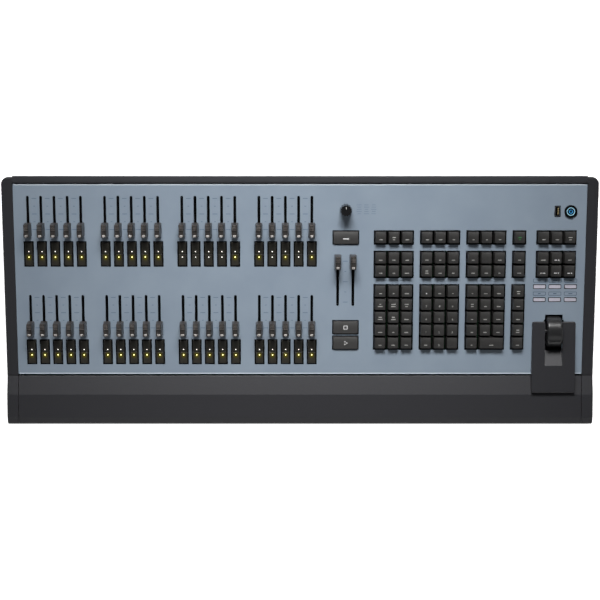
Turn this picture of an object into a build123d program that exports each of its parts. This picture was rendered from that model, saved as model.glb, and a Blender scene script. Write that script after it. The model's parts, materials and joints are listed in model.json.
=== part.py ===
"""Lighting control desk: sloped steel face with faders, keys and a level wheel, on a shallow tray."""
from build123d import *
from math import cos, radians, sin, tan
import os

os.makedirs("parts", exist_ok=True)

# ---------------------------------------------------------------- driving dimensions, in millimetres
WIDTH = 858.0
FRONT_Y = -180.0
REAR_Y = 180.0
FOOT_HEIGHT = 6.0
SHEET = 1.5
CHEEK_WIDTH = 16.6
INNER_HALF = WIDTH / 2 - CHEEK_WIDTH

SLOPE_DEG = 10.0
FACE_FRONT = (-107.0, 44.0)
FACE_LENGTH = 279.4
FACE_THICKNESS = 2.0

PITCH = 19.05
BANK_PITCH = 110.8
ROW_PITCH = 144.3
FIRST_STRIP_U = -391.5
STRIPS_IN_BANK = 5
BANKS = 4

CHANNEL_TRAVEL = 45.0
CHANNEL_ZERO_V = 69.5
CHANNEL_SLOT = (4.0, 50.2)
CHANNEL_SLOT_V = 93.0
MASTER_U = (54.6, 76.7)
MASTER_SLOT = (4.0, 74.0)
MASTER_SLOT_V = 138.6
MASTER_FULL_V = 167.6

BUMP_WINDOW = (14.6, 37.4)
BUMP_WINDOW_V = 33.85
BUMP_CAP = (10.6, 16.4)
BUMP_STEP = 16.9
BUMP_FRAME_WALL = 1.6

KEY_BASE = 17.4
KEY_TOP = (14.2, 15.2)
KEY_SET_BACK = 0.7
KEY_MARGIN = (20.0, 21.1)
LARGE_KEY_U = 66.2
LARGE_KEY = (36.4, 18.8)
LARGE_WINDOW = (38.7, 21.1)
SOFT_KEY = (16.4, 4.6)
SOFT_WINDOW = (18.5, 6.7)
SOFT_KEY_U = (347.3, 369.6, 392.3)
SOFT_KEY_V = (111.3, 130.4)

KNOB_AT = (66.0, 243.0)
KNOB_RADIUS = 8.5
USB_AT = (370.3, 240.2)
POWER_AT = (389.3, 239.9)

WHEEL_U = 369.4
WHEEL_Y = -43.7
WHEEL_V = 63.5
WHEEL_Z = 50.5
WHEEL_RADIUS = 22.75
WHEEL_WIDTH = 21.0
WHEEL_SLOT_WIDTH = 25.3
AXLE_RADIUS = 3.0
RUNNING_GAP = 0.05

HOUSING_WIDTH = 63.0
HOUSING_REAR = (-29.4, 59.7)
HOUSING_FRONT = (-134.0, 51.5)
RAMP_FRONT_Y = -94.0
RAMP_REAR_Y = -71.6

BOARD_TOP = -18.0
BOARD_THICKNESS = 1.6
SWITCH_TOP = -8.2
TACT_TOP = -9.4

REAR_PANEL_Y = 174.6
REAR_PANEL_TOP = 91.3
SOCKET_Z = 44.0
SCREW_SPOTS = [(x, 16) for x in range(-390, 391, 130)]

# ---------------------------------------------------------------- planes and places
SLOPE = radians(SLOPE_DEG)
FACE = Plane(
    origin=(0, FACE_FRONT[0], FACE_FRONT[1]),
    x_dir=(1, 0, 0),
    z_dir=(0, -sin(SLOPE), cos(SLOPE)),
)
REAR_OUTSIDE = Plane(origin=(0, REAR_PANEL_Y + SHEET, 0), x_dir=(-1, 0, 0), z_dir=(0, 1, 0))


def face_z(y):
    """Height of the face panel's top surface at depth y."""
    return FACE_FRONT[1] + (y - FACE_FRONT[0]) * tan(SLOPE)


def bank_spots(bank, v):
    """Places of a bank's five strips, all at the same distance up the face."""
    first = FIRST_STRIP_U + bank * BANK_PITCH
    return [(first + PITCH * strip, v) for strip in range(STRIPS_IN_BANK)]


def key_spots(columns, rows, centre_u, lowest_v):
    """Places of a block of keys, by its middle and its lowest row."""
    left = centre_u - PITCH * (columns - 1) / 2
    return [(left + PITCH * i, lowest_v + PITCH * j) for j in range(rows) for i in range(columns)]


ROW_OFFSET = {"lower": 0.0, "upper": ROW_PITCH}

# Columns of key blocks, by middle and number of keys across.
KEY_COLUMNS = {
    "target": (135.4, 3),
    "number": (202.05, 3),
    "enter": (268.7, 3),
    "strip": (316.3, 1),
    "page": (369.8, 3),
}
# Rows of key blocks, by the lowest key's middle and number of keys up.
KEY_ROWS = {"lower": (47.35, 5), "middle": (153.45, 2), "upper": (202.1, 1)}
LARGE_KEY_V = {"back_key": 70.5, "go_key": 47.5, "master_key": 202.15}

KEY_BLOCKS = [
    (column, row)
    for row in KEY_ROWS
    for column in KEY_COLUMNS
    if (column, row) != ("page", "lower")
]
WIDE_KEY = (268.7 + PITCH / 2, 47.35)


def block_spots(column, row):
    """Single keys of one block; the enter block's last two places hold one wide key."""
    centre_u, across = KEY_COLUMNS[column]
    lowest_v, up = KEY_ROWS[row]
    spots = key_spots(across, up, centre_u, lowest_v)
    if (column, row) == ("enter", "lower"):
        spots = [s for s in spots if s[1] > lowest_v + 1 or s[0] < centre_u - 1]
    return spots


def block_window(column, row):
    """Middle and size of the window round one block of keys."""
    centre_u, across = KEY_COLUMNS[column]
    lowest_v, up = KEY_ROWS[row]
    middle = (centre_u, lowest_v + PITCH * (up - 1) / 2)
    size = (PITCH * (across - 1) + KEY_MARGIN[0], PITCH * (up - 1) + KEY_MARGIN[1])
    return middle, size


KEY_WINDOWS = [block_window(column, row) for column, row in KEY_BLOCKS]
KEY_WINDOWS += [((LARGE_KEY_U, v), LARGE_WINDOW) for v in LARGE_KEY_V.values()]
BUMP_WINDOWS = [
    (spot, BUMP_WINDOW)
    for offset in ROW_OFFSET.values()
    for bank in range(BANKS)
    for spot in bank_spots(bank, BUMP_WINDOW_V + offset)
]
CHANNEL_SLOTS = [
    spot
    for offset in ROW_OFFSET.values()
    for bank in range(BANKS)
    for spot in bank_spots(bank, CHANNEL_SLOT_V + offset)
]
MASTER_SLOTS = [(u, MASTER_SLOT_V) for u in MASTER_U]
SOFT_SPOTS = [(u, v) for v in SOFT_KEY_V for u in SOFT_KEY_U]
SINGLE_KEYS = [spot for column, row in KEY_BLOCKS for spot in block_spots(column, row)]
LARGE_KEYS = [(LARGE_KEY_U, v) for v in LARGE_KEY_V.values()]
BUMP_KEYS = [
    (u, v + shift) for (u, v), _ in BUMP_WINDOWS for shift in (-BUMP_STEP / 2, BUMP_STEP / 2)
]

# Side outline of the nose that a hand rests on, from the chin round to the gap below the face.
CHIN = (-174.0, 19.0)
NOSE_LOW = (FRONT_Y, 29.0)
NOSE_HIGH = (FRONT_Y, 40.0)
BROW = (-170.0, 43.6)
RIDGE = (-136.5, 46.2)
VALLEY = (-108.9, 42.8)
TRAY_FRONT_Y = -150.0
PROUD = 0.6

# ---------------------------------------------------------------- tray, rear panel and feet
with BuildPart() as base_pan:
    with BuildSketch(Plane.XY.offset(FOOT_HEIGHT)):
        with Locations((0, (TRAY_FRONT_Y + REAR_PANEL_Y) / 2)):
            Rectangle(2 * INNER_HALF - 0.4, REAR_PANEL_Y - TRAY_FRONT_Y - 0.2)
    extrude(amount=SHEET)
    with BuildSketch(Plane.YZ.offset(-INNER_HALF + 0.2)):
        with BuildLine():
            Polyline(
                (TRAY_FRONT_Y + 0.1, FOOT_HEIGHT),
                (REAR_PANEL_Y - 0.1, FOOT_HEIGHT),
                (REAR_PANEL_Y - 0.1, 68),
                (-98, 22),
                (TRAY_FRONT_Y + 0.1, 22),
                close=True,
            )
        make_face()
    extrude(amount=SHEET)
    mirror(about=Plane.YZ)
    with BuildSketch(Plane.XY.offset(FOOT_HEIGHT)):
        with Locations((0, TRAY_FRONT_Y + 0.1 + SHEET / 2), (0, REAR_PANEL_Y - 0.1 - SHEET / 2)):
            Rectangle(2 * INNER_HALF - 0.4, SHEET)
    extrude(amount=18)
    # Screw holes that hold the rear panel, and vent slots below the circuit boards.
    with BuildSketch(Plane.XZ.offset(-REAR_PANEL_Y - 1)):
        with Locations(*SCREW_SPOTS):
            Circle(1.6)
    extrude(amount=5, mode=Mode.SUBTRACT)
    with BuildSketch(Plane.XY):
        with Locations((-100, 40), (120, 40)):
            with GridLocations(9, 0, 10, 1):
                SlotOverall(60, 3.4, rotation=90)
    extrude(amount=20, mode=Mode.SUBTRACT)
base_pan.part.label = "base_pan"
export_step(base_pan.part, "parts/base_pan.step")

with BuildPart() as rubber_feet:
    with BuildSketch():
        with GridLocations(380, 270, 3, 2):
            Circle(12)
    extrude(amount=FOOT_HEIGHT, taper=4)
    with BuildSketch():
        with GridLocations(380, 270, 3, 2):
            Circle(4)
    extrude(amount=2.5, mode=Mode.SUBTRACT)
rubber_feet.part.label = "rubber_feet"
export_step(rubber_feet.part, "parts/rubber_feet.step")

# ---------------------------------------------------------------- end cheeks
with BuildPart() as left_end_cheek:
    with BuildSketch(Plane.YZ.offset(-WIDTH / 2)) as outline:
        with BuildLine():
            Polyline(
                (TRAY_FRONT_Y, FOOT_HEIGHT),
                (REAR_Y - 1.3, FOOT_HEIGHT),
                (REAR_Y - 1.3, face_z(REAR_Y - 1.3) + PROUD),
                (FACE_FRONT[0], FACE_FRONT[1] + PROUD),
                (VALLEY[0], VALLEY[1] + PROUD),
                (RIDGE[0], RIDGE[1] + PROUD),
                (BROW[0], BROW[1] + PROUD),
                NOSE_HIGH,
                NOSE_LOW,
                CHIN,
                close=True,
            )
        make_face()
        fillet(outline.vertices().group_by(Axis.X)[0], radius=5)
    extrude(amount=CHEEK_WIDTH)
    rear_outer = left_end_cheek.edges().filter_by(Axis.Z).group_by(Axis.Y)[-1].sort_by(Axis.X)[0]
    fillet(rear_outer, radius=11)
    fillet(left_end_cheek.faces().sort_by(Axis.X)[0].edges(), radius=2.4)
    # The moulding is hollow: a pocket from its inner side leaves a wall all round.
    with BuildSketch(Plane.YZ.offset(-INNER_HALF)):
        with BuildLine():
            Polyline(
                (-145, 10),
                (REAR_Y - 10, 10),
                (REAR_Y - 10, face_z(REAR_Y - 10) - 3.4),
                (FACE_FRONT[0], FACE_FRONT[1] - 3.4),
                (-136, 42),
                (-168, 39.5),
                (-174, 34),
                (-168, 23),
                close=True,
            )
        make_face()
    extrude(amount=-(CHEEK_WIDTH - 4), mode=Mode.SUBTRACT)
left_end_cheek.part.label = "left_end_cheek"
export_step(left_end_cheek.part, "parts/left_end_cheek.step")

with BuildPart() as right_end_cheek:
    add(left_end_cheek.part.mirror(Plane.YZ))
right_end_cheek.part.label = "right_end_cheek"
export_step(right_end_cheek.part, "parts/right_end_cheek.step")

# ---------------------------------------------------------------- wrist rest and rear trim
with BuildPart() as wrist_rest:
    with BuildSketch(Plane.YZ) as nose:
        with BuildLine():
            Polyline(
                (TRAY_FRONT_Y - 0.3, 8),
                (TRAY_FRONT_Y - 0.3, 25.5),
                (VALLEY[0], 25.5),
                VALLEY,
                RIDGE,
                BROW,
                NOSE_HIGH,
                NOSE_LOW,
                CHIN,
                close=True,
            )
        make_face()
        fillet(nose.vertices().group_by(Axis.X)[0], radius=5)
        offset(amount=-2.4, kind=Kind.INTERSECTION, mode=Mode.SUBTRACT)
    extrude(amount=INNER_HALF - 0.3, both=True)
wrist_rest.part.label = "wrist_rest"
export_step(wrist_rest.part, "parts/wrist_rest.step")

TRIM_FRONT_Y = FACE_FRONT[0] + FACE_LENGTH * cos(SLOPE) + 1.2
TRIM_TOP = 96.0
with BuildPart() as rear_trim:
    with BuildSketch(Plane.YZ) as trim_section:
        with BuildLine():
            Polyline(
                (TRIM_FRONT_Y, REAR_PANEL_TOP + 0.2),
                (TRIM_FRONT_Y, 94.2),
                (TRIM_FRONT_Y + 2, TRIM_TOP - 0.6),
                (REAR_Y, TRIM_TOP),
                (REAR_Y, 84),
                (REAR_Y - 2, 84),
                (REAR_Y - 2, REAR_PANEL_TOP + 0.2),
                close=True,
            )
        make_face()
        fillet(trim_section.vertices().sort_by_distance((REAR_Y, TRIM_TOP))[0], radius=1.8)
    extrude(amount=INNER_HALF - 0.2, both=True)
rear_trim.part.label = "rear_trim"
export_step(rear_trim.part, "parts/rear_trim.step")

# ---------------------------------------------------------------- face panel
WHEEL_HOLE = ((WHEEL_U, (13.0 + 89.0) / 2), (WHEEL_SLOT_WIDTH, 89.0 - 13.0))
BRACKET_HOLE = ((WHEEL_U, WHEEL_V), (29.4, 36.0))
PANEL_SETBACK = 0.8
with BuildPart() as face_panel:
    with BuildSketch(FACE.offset(-FACE_THICKNESS)):
        with Locations((0, (FACE_LENGTH + PANEL_SETBACK) / 2)):
            Rectangle(2 * INNER_HALF - 0.6, FACE_LENGTH - PANEL_SETBACK)
        for middle, size in KEY_WINDOWS + BUMP_WINDOWS + [WHEEL_HOLE, BRACKET_HOLE]:
            with Locations(middle):
                Rectangle(*size, mode=Mode.SUBTRACT)
        with Locations(*CHANNEL_SLOTS):
            SlotOverall(CHANNEL_SLOT[1], CHANNEL_SLOT[0], rotation=90, mode=Mode.SUBTRACT)
        with Locations(*MASTER_SLOTS):
            SlotOverall(MASTER_SLOT[1], MASTER_SLOT[0], rotation=90, mode=Mode.SUBTRACT)
        with Locations(*SOFT_SPOTS):
            RectangleRounded(*SOFT_WINDOW, 1.2, mode=Mode.SUBTRACT)
        with Locations(KNOB_AT):
            Circle(4, mode=Mode.SUBTRACT)
        with Locations(USB_AT):
            Rectangle(8.9, 16.1, mode=Mode.SUBTRACT)
        with Locations(POWER_AT):
            Circle(8.1, mode=Mode.SUBTRACT)
    extrude(amount=FACE_THICKNESS)
    # The front edge is folded down behind the wrist rest.
    with BuildSketch(FACE.offset(-12)):
        with Locations((0, PANEL_SETBACK + FACE_THICKNESS / 2)):
            Rectangle(2 * INNER_HALF - 0.6, FACE_THICKNESS)
    extrude(amount=12)
face_panel.part.label = "face_panel"
export_step(face_panel.part, "parts/face_panel.step")

# Black frames that line every window, their tops a hair below the steel.
KEY_FRAME_WALL = 0.8
with BuildPart() as button_frames:
    walls = [(spot, size, KEY_FRAME_WALL) for spot, size in KEY_WINDOWS]
    walls += [(spot, size, BUMP_FRAME_WALL) for spot, size in BUMP_WINDOWS]
    for spot, (width, length), wall in walls:
        with BuildSketch(FACE.offset(-5)):
            with Locations(spot):
                Rectangle(width - 0.2, length - 0.2)
                Rectangle(width - 0.2 - 2 * wall, length - 0.2 - 2 * wall, mode=Mode.SUBTRACT)
        extrude(amount=4.8)
    # The soft keys' frames stand a little proud instead, as a gasket does.
    for spot in SOFT_SPOTS:
        with BuildSketch(FACE.offset(-4)):
            with Locations(spot):
                RectangleRounded(SOFT_WINDOW[0] - 0.2, SOFT_WINDOW[1] - 0.2, 1.1)
                RectangleRounded(SOFT_KEY[0] + 0.5, SOFT_KEY[1] + 0.5, 0.9, mode=Mode.SUBTRACT)
        extrude(amount=4.25)
button_frames.part.label = "button_frames"
export_step(button_frames.part, "parts/button_frames.step")

# ---------------------------------------------------------------- slide faders
FADER_BODY_WIDTH = 9.0
LEVER = (1.2, 4.0)
LEVER_V = 1.0


def fader_body(length, slot):
    """One slide fader's case, hanging below the face on two end posts."""
    with BuildPart() as body:
        with BuildSketch(Plane.XY.offset(-10.2)):
            Rectangle(FADER_BODY_WIDTH, length)
        extrude(amount=8)
        with BuildSketch(Plane.XY.offset(-9.4)):
            Rectangle(2.2, slot)
        extrude(amount=8, mode=Mode.SUBTRACT)
        with BuildSketch(Plane.XY.offset(BOARD_TOP)):
            with GridLocations(0, length - 6, 1, 2):
                Rectangle(FADER_BODY_WIDTH, 4)
        extrude(amount=-BOARD_TOP - 10.2)
    return body.part


CAP_BASE = (10.0, 20.2)
CAP_TOP = (7.4, 18.8)
CAP_HEIGHT = 19.0
RIB_HEIGHT = 1.0
SCOOP_RADIUS = 6.4
SCOOP_DEPTH = 1.2
SCOOP_V = (-6.2, -3.4)

# A finger cap: cross ribs on its rear half and a scoop for a fingertip on its front half.
# It sits on the flat lever that comes up through the slot.
with BuildPart() as fader_cap:
    with BuildSketch(Plane.XY.offset(1.5)):
        RectangleRounded(*CAP_BASE, 1.2)
    with BuildSketch(Plane.XY.offset(CAP_HEIGHT)):
        RectangleRounded(*CAP_TOP, 1.2)
    loft()
    scoop_z = CAP_HEIGHT + SCOOP_RADIUS - SCOOP_DEPTH
    for scoop_v in SCOOP_V:
        with Locations((0, scoop_v, scoop_z)):
            Sphere(SCOOP_RADIUS, mode=Mode.SUBTRACT)
    with Locations(Location((0, sum(SCOOP_V) / 2, scoop_z), (90, 0, 0))):
        Cylinder(SCOOP_RADIUS, SCOOP_V[1] - SCOOP_V[0], mode=Mode.SUBTRACT)
    with BuildSketch(Plane.XY.offset(CAP_HEIGHT - 0.5)):
        with Locations(*[(0, 7.9 - 2.1 * rib) for rib in range(4)]):
            Rectangle(CAP_TOP[0] - 0.6, 1.1)
    extrude(amount=0.5 + RIB_HEIGHT)
    with BuildSketch(Plane.XY.offset(-8.6)):
        with Locations((0, LEVER_V)):
            Rectangle(*LEVER)
    extrude(amount=10.6)
channel_body = fader_body(CHANNEL_SLOT[1] + 16, CHANNEL_TRAVEL + 7)
master_body = fader_body(MASTER_SLOT[1] + 8, 68)

with BuildPart(FACE) as fader_bodies:
    with Locations(*CHANNEL_SLOTS):
        add(channel_body, clean=False)
    with Locations(*MASTER_SLOTS):
        add(master_body, clean=False)
fader_bodies.part.label = "fader_bodies"
export_step(fader_bodies.part, "parts/fader_bodies.step")

for row, offset_v in ROW_OFFSET.items():
    for bank in range(BANKS):
        label = f"{row}_faders_{bank + 1}"
        with BuildPart(FACE) as fader_bank:
            with Locations(*bank_spots(bank, CHANNEL_ZERO_V + offset_v)):
                add(fader_cap.part, clean=False)
        fader_bank.part.label = label
        export_step(fader_bank.part, f"parts/{label}.step")

for label, u in zip(("left_master_fader", "right_master_fader"), MASTER_U):
    with BuildPart(FACE) as master_fader:
        with Locations((u, MASTER_FULL_V)):
            add(fader_cap.part, clean=False)
    master_fader.part.label = label
    export_step(master_fader.part, f"parts/{label}.step")

# ---------------------------------------------------------------- keys and buttons
KEY_BOTTOM = -4.0
KEY_TOP_HEIGHT = 7.0
STEM = 4.2
STEM_BOTTOM = -12.5


KEY_ARCH = 34.0
KEY_TROUGH = 40.0
WIDE_KEY_TROUGH = 160.0


def key_cap(extra_width, trough):
    """A key cap set back a little, on a square stem.

    Its top is arched from front to rear and hollowed from side to side, so it is part of a torus
    whose axis lies below the key, across the desk.
    """
    with BuildPart() as cap:
        with BuildSketch(Plane.XY.offset(KEY_BOTTOM)):
            RectangleRounded(KEY_BASE + extra_width, KEY_BASE, 0.8)
        with BuildSketch(Plane.XY.offset(KEY_TOP_HEIGHT + 0.9)):
            with Locations((0, KEY_SET_BACK)):
                RectangleRounded(KEY_TOP[0] + extra_width, KEY_TOP[1], 1.4)
        loft()
        with Locations(Location((0, KEY_SET_BACK, KEY_TOP_HEIGHT - KEY_ARCH), (0, 90, 0))):
            Torus(KEY_ARCH + trough, trough, mode=Mode.SUBTRACT)
        with BuildSketch(Plane.XY.offset(STEM_BOTTOM)):
            Rectangle(STEM, STEM)
        extrude(amount=KEY_BOTTOM - STEM_BOTTOM)
    return cap.part


single_cap = key_cap(0, KEY_TROUGH)
wide_cap = key_cap(PITCH, WIDE_KEY_TROUGH)

for column, row in KEY_BLOCKS:
    label = f"{column}_keys_{row}"
    with BuildPart(FACE) as key_block:
        with Locations(*block_spots(column, row)):
            add(single_cap, clean=False)
        if (column, row) == ("enter", "lower"):
            with Locations(WIDE_KEY):
                add(wide_cap, clean=False)
    key_block.part.label = label
    export_step(key_block.part, f"parts/{label}.step")

LARGE_KEY_HEIGHT = 3.2
LARGE_KEY_ARCH = 40.0
with BuildPart() as large_cap:
    with BuildSketch(Plane.XY.offset(KEY_BOTTOM)):
        RectangleRounded(*LARGE_KEY, 0.8)
    with BuildSketch(Plane.XY.offset(LARGE_KEY_HEIGHT)):
        RectangleRounded(LARGE_KEY[0] - 1.4, LARGE_KEY[1] - 1.4, 1.2)
    loft()
    # Its top is arched from front to rear.
    with BuildSketch(Plane.YZ.offset(-LARGE_KEY[0])):
        with Locations((0, LARGE_KEY_HEIGHT - LARGE_KEY_ARCH)):
            Circle(LARGE_KEY_ARCH)
    extrude(amount=2 * LARGE_KEY[0], mode=Mode.INTERSECT)
    with BuildSketch(Plane.XY.offset(STEM_BOTTOM)):
        Rectangle(STEM, STEM)
    extrude(amount=KEY_BOTTOM - STEM_BOTTOM)

for label, v in LARGE_KEY_V.items():
    with BuildPart(FACE) as large_key:
        with Locations((LARGE_KEY_U, v)):
            add(large_cap.part, clean=False)
    large_key.part.label = label
    export_step(large_key.part, f"parts/{label}.step")

with BuildPart() as bump_cap:
    with BuildSketch(Plane.XY.offset(-4)):
        RectangleRounded(*BUMP_CAP, 0.6)
    extrude(amount=4.8)
    chamfer(bump_cap.faces().sort_by(Axis.Z)[-1].edges(), length=0.5)
    with BuildSketch(Plane.XY.offset(-7.8)):
        Circle(1.5)
    extrude(amount=3.8)

for row, offset_v in ROW_OFFSET.items():
    for bank in range(BANKS):
        label = f"{row}_buttons_{bank + 1}"
        with BuildPart(FACE) as button_bank:
            for shift in (-BUMP_STEP / 2, BUMP_STEP / 2):
                with Locations(*bank_spots(bank, BUMP_WINDOW_V + offset_v + shift)):
                    add(bump_cap.part, clean=False)
        button_bank.part.label = label
        export_step(button_bank.part, f"parts/{label}.step")

with BuildPart(FACE) as soft_keys:
    with BuildSketch(FACE.offset(-3)):
        with Locations(*SOFT_SPOTS):
            RectangleRounded(*SOFT_KEY, 0.8)
    extrude(amount=3.9)
    with BuildSketch(FACE.offset(-8.4)):
        with Locations(*SOFT_SPOTS):
            Circle(1.5)
    extrude(amount=5.4)
soft_keys.part.label = "soft_keys"
export_step(soft_keys.part, "parts/soft_keys.step")

# Switches below the keys: a square-bored housing for each key, a small block for each button.
with BuildPart() as key_switch:
    with BuildSketch(Plane.XY.offset(BOARD_TOP)):
        Rectangle(15.4, 15.4)
    extrude(amount=SWITCH_TOP - BOARD_TOP)
    with BuildSketch(Plane.XY.offset(BOARD_TOP + 1.2)):
        Rectangle(STEM + 0.8, STEM + 0.8)
    extrude(amount=12, mode=Mode.SUBTRACT)

with BuildPart() as tact_switch:
    with BuildSketch(Plane.XY.offset(BOARD_TOP)):
        Rectangle(6, 6)
    extrude(amount=TACT_TOP - BOARD_TOP)

with BuildPart(FACE) as key_switches:
    with Locations(*(SINGLE_KEYS + [WIDE_KEY] + LARGE_KEYS)):
        add(key_switch.part, clean=False)
    with Locations(*(BUMP_KEYS + SOFT_SPOTS)):
        add(tact_switch.part, clean=False)
key_switches.part.label = "key_switches"
export_step(key_switches.part, "parts/key_switches.step")

# ---------------------------------------------------------------- circuit boards
FADER_BOARD = (-406.0, 36.0, 8.0, 272.0)
KEY_BOARD = (40.0, 405.0, 8.0, 272.0)
with BuildPart() as control_boards:
    with BuildSketch(FACE.offset(BOARD_TOP - BOARD_THICKNESS)):
        for left, right, low, high in (FADER_BOARD, KEY_BOARD):
            with Locations(((left + right) / 2, (low + high) / 2)):
                Rectangle(right - left, high - low)
        with Locations((WHEEL_U, 48)):
            Rectangle(40, 98, mode=Mode.SUBTRACT)
    extrude(amount=BOARD_THICKNESS)
    # The dimmer's turning control stands on the key board.
    with BuildSketch(FACE.offset(BOARD_TOP)):
        with Locations(KNOB_AT):
            Rectangle(12, 12)
    extrude(amount=15.8)
    with BuildSketch(FACE.offset(-11)):
        with Locations(KNOB_AT):
            Circle(AXLE_RADIUS + RUNNING_GAP)
    extrude(amount=12, mode=Mode.SUBTRACT)
control_boards.part.label = "control_boards"
export_step(control_boards.part, "parts/control_boards.step")

MAIN_BOARD_AT = (265.0, 70.0)
MAIN_BOARD = 170.0
with BuildPart() as main_board:
    with BuildSketch(Plane.XY.offset(FOOT_HEIGHT + SHEET + 6)):
        with Locations(MAIN_BOARD_AT):
            Rectangle(MAIN_BOARD, MAIN_BOARD)
    extrude(amount=BOARD_THICKNESS)
    with BuildSketch(Plane.XY.offset(FOOT_HEIGHT + SHEET)):
        with Locations(MAIN_BOARD_AT):
            with GridLocations(MAIN_BOARD - 14, MAIN_BOARD - 14, 2, 2):
                Circle(3)
    extrude(amount=6)
    with BuildSketch(Plane.XY.offset(FOOT_HEIGHT + SHEET + 6 + BOARD_THICKNESS)):
        with Locations((MAIN_BOARD_AT[0] - 10, MAIN_BOARD_AT[1] + 20)):
            Rectangle(70, 64)
    extrude(amount=5)
    with BuildSketch(Plane.XY.offset(FOOT_HEIGHT + SHEET + 11 + BOARD_THICKNESS)):
        with Locations((MAIN_BOARD_AT[0] - 10, MAIN_BOARD_AT[1] + 20)):
            with GridLocations(7.5, 0, 9, 1):
                Rectangle(1.6, 64)
    extrude(amount=14)
main_board.part.label = "main_board"
export_step(main_board.part, "parts/main_board.step")

with BuildPart() as power_supply:
    with BuildSketch(Plane.XY.offset(FOOT_HEIGHT + SHEET)):
        with Locations((-280, 95)):
            Rectangle(159, 97)
    extrude(amount=38)
    chamfer(power_supply.edges().group_by(Axis.Z)[-1], length=1.5)
power_supply.part.label = "power_supply"
export_step(power_supply.part, "parts/power_supply.step")

# ---------------------------------------------------------------- level wheel, its bracket and its housing
BRACKET_OUT = 13.5
with BuildPart() as level_wheel:
    with BuildSketch(Plane.YZ.offset(WHEEL_U - WHEEL_WIDTH / 2)):
        with Locations((WHEEL_Y, WHEEL_Z)):
            Circle(WHEEL_RADIUS)
    extrude(amount=WHEEL_WIDTH)
    fillet(level_wheel.edges().filter_by(GeomType.CIRCLE), radius=2.2)
    with BuildSketch(Plane.YZ.offset(WHEEL_U - BRACKET_OUT - 0.4)):
        with Locations((WHEEL_Y, WHEEL_Z)):
            Circle(AXLE_RADIUS)
    extrude(amount=2 * BRACKET_OUT + 0.8)
level_wheel.part.label = "level_wheel"
export_step(level_wheel.part, "parts/level_wheel.step")

BRACKET_LOW = -31.0
with BuildPart() as wheel_bracket:
    with BuildSketch(FACE.offset(BRACKET_LOW)):
        with Locations((WHEEL_U, WHEEL_V)):
            Rectangle(2 * BRACKET_OUT, 26)
    extrude(amount=-BRACKET_LOW)
    with BuildSketch(FACE.offset(BRACKET_LOW + SHEET)):
        with Locations((WHEEL_U, WHEEL_V)):
            Rectangle(2 * BRACKET_OUT - 2 * SHEET, 30)
    extrude(amount=40, mode=Mode.SUBTRACT)
    with BuildSketch(Plane.YZ.offset(WHEEL_U - 20)):
        with Locations((WHEEL_Y, WHEEL_Z)):
            Circle(AXLE_RADIUS + RUNNING_GAP)
    extrude(amount=40, mode=Mode.SUBTRACT)
wheel_bracket.part.label = "wheel_bracket"
export_step(wheel_bracket.part, "parts/wheel_bracket.step")

HOUSING_SLOPE = (HOUSING_REAR[1] - HOUSING_FRONT[1]) / (HOUSING_REAR[0] - HOUSING_FRONT[0])


def housing_z(y):
    """Height of the wheel housing's top surface at depth y."""
    return HOUSING_FRONT[1] + (y - HOUSING_FRONT[0]) * HOUSING_SLOPE


REST_SLOPE = (RIDGE[1] - VALLEY[1]) / (RIDGE[0] - VALLEY[0])
REST_AT_HOUSING = VALLEY[1] + (HOUSING_FRONT[0] - VALLEY[0]) * REST_SLOPE
SEAT = 0.15
with BuildPart() as wheel_housing:
    with BuildSketch(Plane.YZ.offset(WHEEL_U - HOUSING_WIDTH / 2)) as side:
        with BuildLine():
            Polyline(
                (HOUSING_REAR[0], face_z(HOUSING_REAR[0]) + SEAT),
                HOUSING_REAR,
                HOUSING_FRONT,
                (HOUSING_FRONT[0], REST_AT_HOUSING + SEAT),
                (VALLEY[0], VALLEY[1] + SEAT),
                (FACE_FRONT[0], FACE_FRONT[1] + SEAT),
                close=True,
            )
        make_face()
        fillet(side.vertices().sort_by_distance(HOUSING_FRONT)[0], radius=2.5)
        fillet(side.vertices().sort_by_distance(HOUSING_REAR)[0], radius=1.4)
    extrude(amount=HOUSING_WIDTH)
    with BuildSketch(Plane.XY):
        with Locations((WHEEL_U, (HOUSING_REAR[0] + HOUSING_FRONT[0]) / 2)):
            RectangleRounded(HOUSING_WIDTH, HOUSING_REAR[0] - HOUSING_FRONT[0], 3)
    extrude(amount=100, mode=Mode.INTERSECT)
    # Cavity for the bracket, under a thin top.
    with BuildSketch(Plane.XY.offset(40)):
        with Locations((WHEEL_U, -49.2)):
            Rectangle(30, 38)
    extrude(amount=housing_z(-49.2) - 41.9, mode=Mode.SUBTRACT)
    # Slot for the wheel, then the ramp where the finger rolls it.
    with BuildSketch(Plane.XY.offset(40)):
        with Locations((WHEEL_U, (RAMP_FRONT_Y - 10) / 2)):
            Rectangle(WHEEL_SLOT_WIDTH, -RAMP_FRONT_Y - 10)
    extrude(amount=30, mode=Mode.SUBTRACT)
    with BuildSketch(Plane.YZ.offset(WHEEL_U - WHEEL_SLOT_WIDTH / 2)):
        with BuildLine():
            Polyline(
                (RAMP_FRONT_Y, housing_z(RAMP_FRONT_Y)),
                (RAMP_FRONT_Y, face_z(RAMP_FRONT_Y) + SEAT),
                (RAMP_FRONT_Y + 0.4, face_z(RAMP_FRONT_Y) - 1),
                (RAMP_REAR_Y, housing_z(RAMP_REAR_Y) - 10.5),
                (RAMP_REAR_Y, housing_z(RAMP_REAR_Y) - 8),
                close=True,
            )
        make_face()
    extrude(amount=WHEEL_SLOT_WIDTH)
wheel_housing.part.label = "wheel_housing"
export_step(wheel_housing.part, "parts/wheel_housing.step")

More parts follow.
